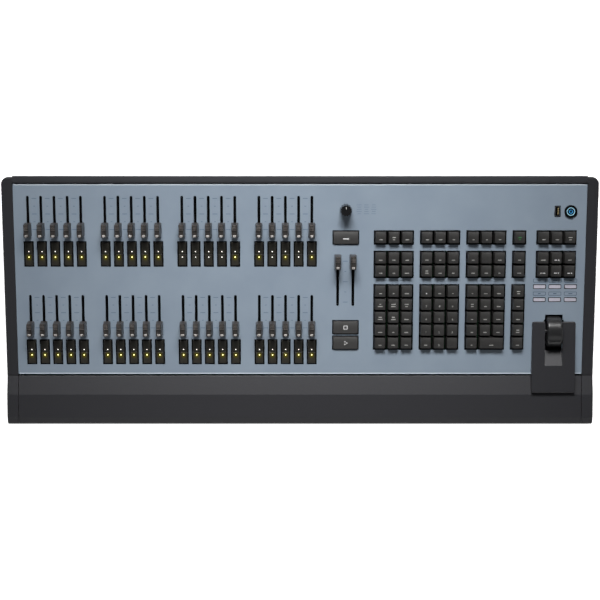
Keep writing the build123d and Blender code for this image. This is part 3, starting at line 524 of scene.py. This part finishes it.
scale_ink = screen_ink("Screen ink, slate blue", "#4a5f76", "#54697f", 0.6)
legend_ink = screen_ink("Screen ink, pale grey", "#a0a09c", "#b6b6b2", 0.55)
white_ink = screen_ink("Pad-printed white", "#dcdcdc", "#f0f0f0", 0.4)
box_ink = screen_ink("Screen ink, dark slate", "#3a4d62", "#43576c", 0.6)
# This warm grey is a painted highlight for the fader caps' hollows.
cap_highlight_paint = screen_ink("Painted highlight, warm grey", "#b9b5b0", "#cdc9c4", 0.4)
green_ink = screen_ink("Pad-printed green", "#2f6a3a", "#3a7a46", 0.5)
print("inks:", [ink.name for ink in (scale_ink, legend_ink, white_ink, box_ink, cap_highlight_paint, green_ink)])

# %% [markdown]
# ## Fader scales
# Between each pair of faders in a bank there is a small scale of five marks over the fader's travel:
# long marks at full, half and zero, short ones at the quarters. Its ends are the two ends of the cap's
# travel, which the fader's joint gives.

# %% Scales on the face
CAP = (10.0 * MM, 20.2 * MM)
LONG_MARK, SHORT_MARK, MARK_WIDTH = 7.0 * MM, 2.6 * MM, 0.75 * MM
joint_range = {j["child"]: j.get("range_m") for j in frame["joints"]}

scales = Marks(0.0)


def put_scale(u, zero, travel):
    """Five marks over a travel, long ones at full, half and zero."""
    for quarter in range(5):
        length = SHORT_MARK if quarter % 2 else LONG_MARK
        scales.tablet(pill(length, MARK_WIDTH), (u, zero + travel * quarter / 4))


FADER_BANKS = [name for name in FADERS if "_faders_" in name]
for bank in FADER_BANKS:
    row = grid(bank, *CAP)[0]
    travel = joint_range[bank][1]
    for (left, zero), (right, _) in zip(row, row[1:]):
        put_scale((left + right) / 2, zero, travel)
left_master = grid("left_master_fader", *CAP)[0][0]
right_master = grid("right_master_fader", *CAP)[0][0]
put_scale((left_master[0] + right_master[0]) / 2, left_master[1], joint_range["left_master_fader"][0])
scales.build("fader_scales", scale_ink, "desk")
print("scales for", len(FADER_BANKS), "banks, travel", travel, "m")

# %% [markdown]
# ## Painted highlights on the fader caps
# Each cap has a finger hollow in the front half of its top. A short pale spot at its front end is a
# painted highlight, the shine of the lights in the hollow's front wall; it is a pale tablet that
# follows the hollow's round bottom. It may be ink or only shine. It is drawn as ink here, and follows
# the hollow's round bottom. The crests of the four ribs show as pale lines that these lights are too
# broad to give, so thin paler tablets on them are a painted highlight too.

# %% Cap marks
HOLLOW_RADIUS, HOLLOW_CENTRE = 6.4 * MM, 24.2 * MM
HOLLOW_FRONT = -6.2 * MM
CAP_HIGHLIGHT_V = -7.0 * MM


def hollow(u, v):
    """The height of one cap's hollow over the face, at a distance from the cap's middle."""

    def height(x, y):
        past = min(0.0, y - v - HOLLOW_FRONT)
        return HOLLOW_CENTRE - math.sqrt(HOLLOW_RADIUS ** 2 - (x - u) ** 2 - past ** 2)

    return height


# Pale tablets on the rib crests are a painted highlight.
rib_highlight_paint = smooth_abs("Painted highlight on fader rib crests", "#6f6a67", "#7c7774", 0.3, 0.4)
CAP_HIGHLIGHT, RIB_CREST = (4.4 * MM, 1.5 * MM), (6.0 * MM, 0.6 * MM)
RIB_TOP = 20.0 * MM
FIRST_RIB_V, RIB_STEP, RIB_COUNT = 7.9 * MM, 2.1 * MM, 4
for name in FADERS:
    marks = Marks(0.0)
    shine = Marks(RIB_TOP)
    for u, v in grid(name, *CAP)[0]:
        marks.height = hollow(u, v)
        # The pale spot in the hollow's front wall is a painted highlight.
        marks.tablet(pill(*CAP_HIGHLIGHT), (u, v + CAP_HIGHLIGHT_V))
        for k in range(RIB_COUNT):
            shine.tablet(pill(*RIB_CREST), (u, v + FIRST_RIB_V - RIB_STEP * k))
    marks.build(name + "_cap_highlight", cap_highlight_paint, name)
    shine.build(name + "_rib_highlight", rib_highlight_paint, name)
print("painted highlights on caps and ribs of", len(FADERS), "fader pieces")

# %% [markdown]
# ## Key legends
# A key's top is hollow from side to side and arched from front to rear, like a saddle, so its legend
# has to follow that saddle. Words are left out: a word is a plain bar, and two lines are two bars.
# Digits and pointers stay. Each block's rows are written here from its top row down: a number is a
# bar's length in mm, a slash parts two lines, and a digit or sign follows an equals sign.

# %% Key legend table
KEY_TOP = 7.0 * MM
KEY_ARCH = 34.0 * MM
TROUGH, WIDE_TROUGH = 40.0 * MM, 160.0 * MM
SET_BACK = 0.7 * MM

LEGENDS = {
    "target_keys_lower": ["4 2.5 6", "2.5/7 6.5/7 6/4", "5/7 5/7 6.5", "6.5 3.5 5.5", "4.5 5 5"],
    "number_keys_lower": ["dot 4 2.5", "=7 =8 =9", "=4 =5 =6", "=1 =2 =3", "4.5 =0 =."],
    "enter_keys_lower": ["2 5.5 5.5", "4/4 4 5.5", "3 5 6", "3.5 5 4.5", "2.5 6"],
    "strip_keys_lower": ["5/4", "5", "5.5", "4/5", "4.5"],
    "target_keys_middle": ["5.5 4.5 5", "5 4 6"],
    "number_keys_middle": ["5 3.5 5", "4/5 5 4"],
    "enter_keys_middle": ["4 . 5.5", "5 5 3"],
    "strip_keys_middle": ["4.5", "6"],
    "page_keys_middle": ["6.5 up 5.5", "left down right"],
    "target_keys_upper": ["5.5 5/3 5"],
    "number_keys_upper": ["4.5 5 3.5"],
    "enter_keys_upper": ["3 3 3"],
    "strip_keys_upper": ["5/3"],
    "page_keys_upper": ["4.5 5 6/4"],
}
POINTERS = {"up": 0, "left": 90, "down": 180, "right": 270}
WORD_HEIGHT = 1.1 * MM
DIGIT_HEIGHT, DOT = 4.4 * MM, 1.9 * MM
POINTER, POINTER_OUT = 2.6 * MM, 3.0 * MM
POINTER_WORD, POINTER_WORD_IN = 4.2 * MM, 1.2 * MM
LOW_LINE, HIGH_LINE = -2.3 * MM, 1.0 * MM
print("keys with a legend:", sum(len(row.split()) for rows in LEGENDS.values() for row in rows))


# %% One key's legend
def put_legend(marks, text, u, v):
    """One key's legend: a digit, a pointer with a short word, a dot, or one or two bars."""
    low = (u, v + LOW_LINE)
    if text == ".":
        return
    if text.startswith("="):
        marks.glyph(text[1:], DIGIT_HEIGHT, low)
    elif text == "dot":
        marks.tablet(pill(DOT, DOT), low)
    elif text in POINTERS:
        side = -1 if text == "left" else 1
        marks.tablet(triangle(POINTER, POINTERS[text]), (u + side * POINTER_OUT, v + LOW_LINE))
        marks.tablet(pill(POINTER_WORD, WORD_HEIGHT), (u - side * POINTER_WORD_IN, v + LOW_LINE))
    else:
        words = [float(word) * MM for word in text.split("/")]
        marks.tablet(pill(words[-1], WORD_HEIGHT), low)
        if len(words) == 2:
            marks.tablet(pill(words[0], WORD_HEIGHT), (u, v + HIGH_LINE))


def saddle(u, v, trough):
    """The height of one key's top over the face."""

    def height(x, y):
        reach = KEY_ARCH + trough - math.sqrt(trough ** 2 - (x - u) ** 2)
        return KEY_TOP - KEY_ARCH + math.sqrt(reach ** 2 - (y - v - SET_BACK) ** 2)

    return height


# %% Legends on every block
for name in KEY_BLOCKS:
    marks = Marks(0.0)
    bright = Marks(0.0)
    for row, words in zip(grid(name, KEY, KEY), reversed(LEGENDS[name])):
        words = words.split()
        wide = len(words) < len(row)
        if wide:
            row = [row[0], ((row[1][0] + row[2][0]) / 2, row[1][1])]
        for (u, v), word in zip(row, words):
            ink = bright if word in ("dot", "left", "right", "up", "down") else marks
            ink.height = saddle(u, v, WIDE_TROUGH if wide and u > row[0][0] else TROUGH)
            put_legend(ink, word, u, v)
    ink = green_ink if name == "strip_keys_upper" else legend_ink
    marks.build(name + "_legends", ink, name)
    if bright.mesh.verts:
        bright.build(name + "_signs", white_ink, name)
print("legends on", len(KEY_BLOCKS), "blocks")

# %% [markdown]
# ## Large keys
# The three wide keys are arched from front to rear. The lower two carry the signs for stop and go as
# outlines, and the upper one has only a bar.

# %% Large key signs
LARGE_TOP = 3.2 * MM
LARGE_ARCH = 40.0 * MM
SIGN_LINE = 0.6 * MM
STOP_SIDE, STOP_CORNER = 5.6 * MM, 0.6 * MM
GO_SIZE = 7.2 * MM
BAR, BAR_DOWN = (8.5 * MM, 1.5 * MM), 1.5 * MM


def ring_of(outline, inset):
    """The same outline moved in towards its middle by a line's width."""
    size = max(math.hypot(x, y) for x, y in outline)
    share = (size - inset) / size
    return [(x * share, y * share) for x, y in outline]


def arch(v):
    """The height of a large key's top over the face."""

    def height(_, y):
        return LARGE_TOP - LARGE_ARCH + math.sqrt(LARGE_ARCH ** 2 - (y - v) ** 2)

    return height


# The corners of an outline move in further than its sides, so its inset is more than the line.
for name in LARGE_KEYS:
    low, high = face_box(name)
    centre = ((low.x + high.x) / 2, (low.y + high.y) / 2)
    marks = Marks(arch(centre[1]))
    if name == "back_key":
        square = rounded(STOP_SIDE, STOP_SIDE, STOP_CORNER)
        marks.ring(square, ring_of(square, 1.6 * SIGN_LINE), centre)
    elif name == "go_key":
        point = triangle(GO_SIZE, -90)
        marks.ring(point, ring_of(point, 2 * SIGN_LINE), centre)
    else:
        marks.tablet(pill(*BAR), (centre[0], centre[1] - BAR_DOWN))
    marks.build(name + "_sign", white_ink, name)
print("signs on", len(LARGE_KEYS), "large keys")

# %% [markdown]
# ## Smoked button covers and their lamps
# Each channel has two buttons under smoked acrylic, with a lamp near the line where they meet: a white
# one above, and below it one that is yellow on most channels. Light spreads inside the cover, so a soft
# halo shows round a yellow lamp. A number stored at each point of a thin disc carries that halo: it is
# 1 at the lamp and falls to 0 at the rim, and the shader mixes that much light over the clear disc.

# %% Smoked cover and lamps
smoked = smooth_abs("Smoked acrylic, near black", "#27251f", "#312f29", 0.3, 0.4)
BUTTONS = sorted(name for name in nodes if "_buttons_" in name)
wear("smoked acrylic", BUTTONS, smoked)
for name in BUTTONS:
    soften(name, 0.25)


def lamp_material(name, colour, strength):
    """A cast epoxy lens with a lit chip behind it; its diffusing grain makes the light uneven."""
    material = start_material(name)
    place = add_node(material, "ShaderNodeTexCoord")
    grains = add_node(material, "ShaderNodeTexNoise", {}, {
        "Vector": place.outputs["Object"], "Scale": 1 / (0.4 * MM), "Detail": 2.0})
    fade = add_node(material, "ShaderNodeMapRange", {}, {
        "Value": grains.outputs["Fac"], "To Min": strength * 0.5, "To Max": strength})
    lens = add_node(material, "ShaderNodeBsdfPrincipled", {}, {
        "Base Color": linear(colour), "Roughness": 0.15, "IOR": 1.52,
        "Emission Color": linear(colour), "Emission Strength": fade.outputs["Result"]})
    return finish_material(material, lens)


white_lamp = lamp_material("Epoxy lamp, white", "#fffdf4", 3.0)
yellow_lamp = lamp_material("Epoxy lamp, yellow", "#fff7a8", 4.0)

halo = start_material("Lamp light in the smoked cover")
lit = add_node(halo, "ShaderNodeAttribute", {"attribute_name": "glow"})
clear = add_node(halo, "ShaderNodeBsdfTransparent")
glow = add_node(halo, "ShaderNodeEmission", {}, {"Color": linear("#8f8400"), "Strength": 0.55})
spread = add_node(halo, "ShaderNodeMixShader", {}, {
    "Fac": lit.outputs["Fac"], 1: clear.outputs[0], 2: glow.outputs[0]})
finish_material(halo, spread)

# %% Lamp lens
BUMP_CAP = (10.6 * MM, 16.4 * MM)
COVER_TOP = 0.8 * MM
WHITE_UP, LOWER_UP = 3.6 * MM, -4.4 * MM
LAMP_RADIUS, LAMP_HEIGHT = 0.72 * MM, 0.5 * MM
YELLOW_LARGER = 1.2
HALO_HALF, HALO_DOWN = (4.9 * MM, 6.0 * MM), 0.4 * MM
# Channels of the upper row whose lower lamp is white, counted from the left.
WHITE_CHANNELS = {10, 11, 12, 13, 16, 18}


def dome(mesh, centre, radius, height, rings=4, around=12):
    """A low lens on the cover, closed underneath."""
    layers = []
    for ring in range(rings):
        tilt = math.radians(90 * ring / rings)
        r, h = radius * math.cos(tilt), height * math.sin(tilt)
        layers.append([
            mesh.verts.new(FACE @ Vector((
                centre[0] + r * math.cos(2 * math.pi * k / around),
                centre[1] + r * math.sin(2 * math.pi * k / around),
                COVER_TOP - SUNK + h)))
            for k in range(around)])
    crown = mesh.verts.new(FACE @ Vector((centre[0], centre[1], COVER_TOP - SUNK + height)))
    mesh.faces.new(list(reversed(layers[0])))
    for lower, upper in zip(layers, layers[1:]):
        for k in range(around):
            n = (k + 1) % around
            mesh.faces.new((lower[k], lower[n], upper[n], upper[k]))
    for k in range(around):
        mesh.faces.new((layers[-1][k], layers[-1][(k + 1) % around], crown))


# %% Halo disc
def finish_mesh(mesh, name, material, body):
    """Turns a bmesh into a smooth riding object."""
    bmesh.ops.recalc_face_normals(mesh, faces=mesh.faces)
    data = bpy.data.meshes.new(name)
    mesh.to_mesh(data)
    mesh.free()
    data.materials.append(material)
    for polygon in data.polygons:
        polygon.use_smooth = True
    piece = bpy.data.objects.new(name, data)
    bpy.context.scene.collection.objects.link(piece)
    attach(piece, body)
    return piece


def halo_disc(mesh, layer, centre, half_width, half_length, rings=5, around=20):
    """A thin disc just over the cover that fades from its middle to its rim."""
    level = COVER_TOP + 0.03 * MM
    middle = mesh.verts.new(FACE @ Vector((centre[0], centre[1], level)))
    middle[layer] = 1.0
    previous = [middle] * around
    for ring in range(1, rings + 1):
        share = ring / rings
        row = []
        for k in range(around):
            turn = 2 * math.pi * k / around
            x = centre[0] + half_width * share * math.cos(turn)
            y = centre[1] + half_length * share * math.sin(turn)
            vertex = mesh.verts.new(FACE @ Vector((x, y, level)))
            vertex[layer] = (1 - share) ** 1.5
            row.append(vertex)
        for k in range(around):
            n = (k + 1) % around
            if ring == 1:
                mesh.faces.new((middle, row[k], row[n]))
            else:
                mesh.faces.new((previous[k], row[k], row[n], previous[n]))
        previous = row


# %% Lamps on every button
for name in BUTTONS:
    low, high = face_box(name)
    middle_v = (low.y + high.y) / 2
    bank = int(name[-1]) - 1
    white, yellow, glows = bmesh.new(), bmesh.new(), bmesh.new()
    layer = glows.verts.layers.float.new("glow")
    yellows = 0
    for strip in range(5):
        u = low.x + BUMP_CAP[0] / 2 + strip * PITCH
        dome(white, (u, middle_v + WHITE_UP), LAMP_RADIUS, LAMP_HEIGHT)
        lower = (u, middle_v + LOWER_UP)
        if name.startswith("upper") and bank * 5 + strip in WHITE_CHANNELS:
            dome(white, lower, LAMP_RADIUS, LAMP_HEIGHT)
        else:
            dome(yellow, lower, LAMP_RADIUS * YELLOW_LARGER, LAMP_HEIGHT)
            halo_disc(glows, layer, (u, lower[1] - HALO_DOWN), *HALO_HALF)
            yellows += 1
    finish_mesh(white, name + "_white_lamps", white_lamp, name)
    if yellows:
        finish_mesh(yellow, name + "_yellow_lamps", yellow_lamp, name)
        finish_mesh(glows, name + "_glow", halo, name)
print("lamps on", len(BUTTONS), "button banks")

# %% [markdown]
# ## Soft keys and their boxes
# Six pale silicone keys sit below printed boxes that name them. Silicone is soft and slightly waxy,
# so its colour drifts a little and its shine is broad.

# %% Soft keys
silicone = start_material("Silicone rubber, pale lilac grey")
where = add_node(silicone, "ShaderNodeTexCoord")
bloom = add_node(silicone, "ShaderNodeTexNoise", {}, {
    "Vector": where.outputs["Object"], "Scale": 1 / (6 * MM), "Detail": 2.0})
tone = add_node(silicone, "ShaderNodeValToRGB", {}, {"Fac": bloom.outputs["Fac"]})
tone.color_ramp.elements[0].color = linear("#aeaab5")
tone.color_ramp.elements[1].color = linear("#c2bfca")
soft = add_node(silicone, "ShaderNodeBsdfPrincipled", {}, {
    "Base Color": tone.outputs["Color"], "Roughness": 0.45, "IOR": 1.41})
finish_material(silicone, soft)
wear("silicone", ["soft_keys"], silicone)
soften("soft_keys", 0.4)

low, high = face_box("soft_keys")
SOFT = (16.4 * MM, 4.6 * MM)
LABEL = (18.5 * MM, 5.6 * MM)
LABEL_UP = 8.8 * MM
LABEL_LINE = 0.7 * MM
label_outside = rounded(*LABEL, 1.0 * MM)
label_inside = rounded(LABEL[0] - 2 * LABEL_LINE, LABEL[1] - 2 * LABEL_LINE, 0.4 * MM)
pitch_across, pitch_up = (high.x - low.x - SOFT[0]) / 2, high.y - low.y - SOFT[1]
first_label = (low.x + SOFT[0] / 2, low.y + SOFT[1] / 2 + LABEL_UP)
boxes = Marks(0.0)
for i in range(3):
    for j in range(2):
        spot = (first_label[0] + i * pitch_across, first_label[1] + j * pitch_up)
        boxes.ring(label_outside, label_inside, spot)
        boxes.tablet(pill((4 + (i + j) % 3) * MM, WORD_HEIGHT), spot)
boxes.build("soft_key_boxes", box_ink, "desk")
print("soft key pitch in mm:", round(pitch_across / MM, 2), round(pitch_up / MM, 2))

# %% [markdown]
# ## Power button and data socket
# The power button has a lit blue ring round a lit sign. Both are thin light pipes in its black cap. The
# data socket's contacts are gold-plated strips on its tongue.

# %% Power ring
def light_pipe(name, colour, strength):
    """A moulded light pipe, lit evenly from behind, with a slightly milky skin."""
    material = start_material(name)
    place = add_node(material, "ShaderNodeTexCoord")
    milk = add_node(material, "ShaderNodeTexNoise", {}, {
        "Vector": place.outputs["Object"], "Scale": 1 / (1.2 * MM), "Detail": 2.0})
    level = add_node(material, "ShaderNodeMapRange", {}, {
        "Value": milk.outputs["Fac"], "To Min": strength * 0.8, "To Max": strength})
    pipe = add_node(material, "ShaderNodeBsdfPrincipled", {}, {
        "Base Color": linear(colour), "Roughness": 0.35, "IOR": 1.49,
        "Emission Color": linear(colour), "Emission Strength": level.outputs["Result"]})
    return finish_material(material, pipe)


def circle(radius, steps=32):
    """Outline of a circle."""
    return [(radius * math.cos(2 * math.pi * k / steps), radius * math.sin(2 * math.pi * k / steps))
            for k in range(steps)]


pale_light = light_pipe("Light pipe, pale blue rim", "#8fc0d2", 0.6)
blue_light = light_pipe("Light pipe, blue sign", "#2f8fce", 0.5)
low, high = face_box("power_button")
power_at = ((low.x + high.x) / 2, (low.y + high.y) / 2)
RIM_OUTER, RIM_INNER = 5.8 * MM, 5.0 * MM
rim = Marks(high.z)
rim.ring(circle(RIM_OUTER), circle(RIM_INNER), power_at)
rim.build("power_rim_light", pale_light, "power_button")

SIGN_OUTER, SIGN_INNER, OPENING, ARC_STEPS = 2.8 * MM, 2.0 * MM, 50, 24
SIGN_BAR, SIGN_BAR_UP = (0.8 * MM, 2.4 * MM), 1.9 * MM
arc = [math.radians(90 + OPENING + (360 - 2 * OPENING) * k / ARC_STEPS) for k in range(ARC_STEPS + 1)]
outer = [(SIGN_OUTER * math.cos(t), SIGN_OUTER * math.sin(t)) for t in arc]
inner = [(SIGN_INNER * math.cos(t), SIGN_INNER * math.sin(t)) for t in arc]
sign = Marks(high.z)
for k in range(ARC_STEPS):
    sign.tablet([outer[k], outer[k + 1], inner[k + 1], inner[k]], power_at)
sign.tablet(pill(*SIGN_BAR), (power_at[0], power_at[1] + SIGN_BAR_UP))
sign.build("power_sign_light", blue_light, "power_button")
print("power button at", [round(x / MM, 1) for x in power_at], "mm on the face")

# %% Socket contacts and shell
gold = start_material("Gold-plated contact")
where = add_node(gold, "ShaderNodeTexCoord")
plating = add_node(gold, "ShaderNodeTexNoise", {}, {
    "Vector": where.outputs["Object"], "Scale": 1 / (0.8 * MM)})
polish = add_node(gold, "ShaderNodeMapRange", {}, {
    "Value": plating.outputs["Fac"], "To Min": 0.45, "To Max": 0.6})
leaf = add_node(gold, "ShaderNodeBsdfPrincipled", {}, {
    "Base Color": linear("#ecd9a6"), "Metallic": 1.0, "Roughness": polish.outputs["Result"]})
finish_material(gold, leaf)
SOCKET_FROM_POWER = (-19.0 * MM, 0.3 * MM)
TONGUE_TOP, TONGUE_ACROSS = -1.0 * MM, 1.0 * MM
CONTACT, CONTACT_PITCH, CONTACT_COUNT = (1.4 * MM, 1.7 * MM), 2.5 * MM, 4
SHELL_TOP = 0.3 * MM
socket_at = (power_at[0] + SOCKET_FROM_POWER[0], power_at[1] + SOCKET_FROM_POWER[1])
contacts = Marks(TONGUE_TOP)
for k in range(CONTACT_COUNT):
    along = (k - (CONTACT_COUNT - 1) / 2) * CONTACT_PITCH
    contacts.tablet(rounded(*CONTACT, 0.2 * MM), (socket_at[0] + TONGUE_ACROSS, socket_at[1] + along))
contacts.build("socket_contacts", gold, "desk")
shell = Marks(SHELL_TOP)
shell.ring(rounded(6.4 * MM, 13.8 * MM, 0.8 * MM), rounded(5.5 * MM, 12.9 * MM, 0.4 * MM), socket_at)
shell.build("socket_shell_rim", zinc, "desk")
print("contacts in the data socket:", CONTACT_COUNT)

# %% [markdown]
# ## Knob pointer and the marks beside it
# The dimmer knob has a short pointer on its top, which turns with it. Beside it is a small table that
# says what it dims. Its words are left out, and thin bars stand for them.

# %% Knob pointer and its legend
low, high = face_box("dimmer_knob")
knob_at = ((low.x + high.x) / 2, (low.y + high.y) / 2)
POINTER_BAR, POINTER_BAR_UP = (0.9 * MM, 3.6 * MM), 3.6 * MM
pointer = Marks(high.z)
pointer.tablet(pill(*POINTER_BAR), (knob_at[0], knob_at[1] + POINTER_BAR_UP))
pointer.build("knob_pointer", legend_ink, "dimmer_knob")

COLUMNS, ROWS = 3, 5
FIRST_COLUMN, COLUMN_PITCH = 19.0 * MM, 10.5 * MM
TOP_ROW, ROW_PITCH = 6.4 * MM, 3.2 * MM
LONGEST_NOTE, NOTE_HEIGHT = 7.5 * MM, 0.45 * MM
notes = Marks(0.0)
for i in range(COLUMNS):
    for j in range(ROWS):
        spot = (knob_at[0] + FIRST_COLUMN + COLUMN_PITCH * i, knob_at[1] + TOP_ROW - ROW_PITCH * j)
        notes.tablet(pill(LONGEST_NOTE - (i + 2 * j) % 3 * MM, NOTE_HEIGHT), spot)
notes.build("knob_notes", scale_ink, "desk")
print("bars beside the knob:", COLUMNS * ROWS)

# %% [markdown]
# ## Painted highlights on the panel's edges
# The panel's front and rear edges show as thin bright lines. A real edge catches the light on a radius
# too small to show at this size, so two thin pale strips along them are a painted highlight. A coat
# that is thinner at the fold is only a guess.

# %% Panel edges
# The pale strips are a painted highlight along the panel's front and rear edges.
edge_highlight_paint = screen_ink("Painted highlight, panel edges", "#c6d1da", "#d6dfe6", 0.35)
panel_from, panel_to = face_box("face_panel")
EDGE_STRIP = 1.3 * MM
edge_highlights = Marks(0.0)
for v in (panel_from.y + 0.7 * EDGE_STRIP, panel_to.y - 0.7 * EDGE_STRIP):
    edge_highlights.tablet(rounded(panel_to.x - panel_from.x - 2 * EDGE_STRIP, EDGE_STRIP, 0.3 * MM), (0.0, v))
edge_highlights.build("panel_edge_highlights", edge_highlight_paint, "desk")
print("panel from", round(panel_from.y, 4), "to", round(panel_to.y, 4), "m up the face")

# %% [markdown]
# ## Floor, light and camera
# The desk stands on a white sweep. One broad soft box behind the desk rakes across it and picks out
# the back edges of the keys. Its beam is narrow, so the middle of the face is brighter than the ends.
# A weak reflector in front fills the shadows. The camera looks straight down.

# %% Studio
sweep = bpy.data.meshes.new("Sweep")
half = 40.0
corners = [(-half, -half, 0), (half, -half, 0), (half, half, 0), (-half, half, 0)]
sweep.from_pydata(corners, [], [(0, 1, 2, 3)])
floor = bpy.data.objects.new("Floor", sweep)
bpy.context.scene.collection.objects.link(floor)
paper = start_material("White paper sweep")
where = add_node(paper, "ShaderNodeTexCoord")
pulp = add_node(paper, "ShaderNodeTexNoise", {}, {"Vector": where.outputs["Object"], "Scale": 300.0})
tone = add_node(paper, "ShaderNodeValToRGB", {}, {"Fac": pulp.outputs["Fac"]})
tone.color_ramp.elements[0].color = linear("#f4f4f4")
tone.color_ramp.elements[1].color = linear("#ffffff")
sheet = add_node(paper, "ShaderNodeBsdfPrincipled", {}, {
    "Base Color": tone.outputs["Color"], "Roughness": 0.9,
    "Emission Color": (1.0, 1.0, 1.0, 1.0), "Emission Strength": 1.0})
finish_material(paper, sheet)
sweep.materials.append(paper)
print("sweep", 2 * half, "m wide")

# %% Soft boxes

def soft_box(name, place, target, width, height, power, colour="#ffffff"):
    """A rectangular soft box that faces a point on the desk."""
    lamp = bpy.data.lights.new(name, "AREA")
    lamp.shape = "RECTANGLE"
    lamp.size = width
    lamp.size_y = height
    lamp.energy = power
    lamp.color = linear(colour)[:3]
    holder = bpy.data.objects.new(name, lamp)
    bpy.context.scene.collection.objects.link(holder)
    holder.location = place
    holder.rotation_euler = (Vector(target) - Vector(place)).to_track_quat("-Z", "Y").to_euler()
    return holder


rear = soft_box("Rear soft box", (0.0, 1.1, 1.15), (0.0, -0.22, 0.05), 0.9, 0.4, 5.7)
rear.data.spread = math.radians(58)
soft_box("Front reflector", (0.0, -1.2, 1.0), (0.0, 0.0, 0.05), 1.8, 0.9, 3.0)

world = bpy.data.worlds.new("Studio")
world.use_nodes = True
world.node_tree.nodes["Background"].inputs["Color"].default_value = (0.95, 0.97, 1.0, 1.0)
world.node_tree.nodes["Background"].inputs["Strength"].default_value = 0.06
bpy.context.scene.world = world
bpy.context.scene.view_settings.view_transform = "Standard"

CAMERA_HEIGHT = 2.278
camera_data = bpy.data.cameras.new("Camera")
camera_data.sensor_width = 36.0
camera_data.lens = 91.5
camera = bpy.data.objects.new("Camera", camera_data)
camera.location = (0.0, 0.002, CAMERA_HEIGHT)
bpy.context.scene.collection.objects.link(camera)
bpy.context.scene.camera = camera
print("camera", round(CAMERA_HEIGHT, 3), "m above the table")
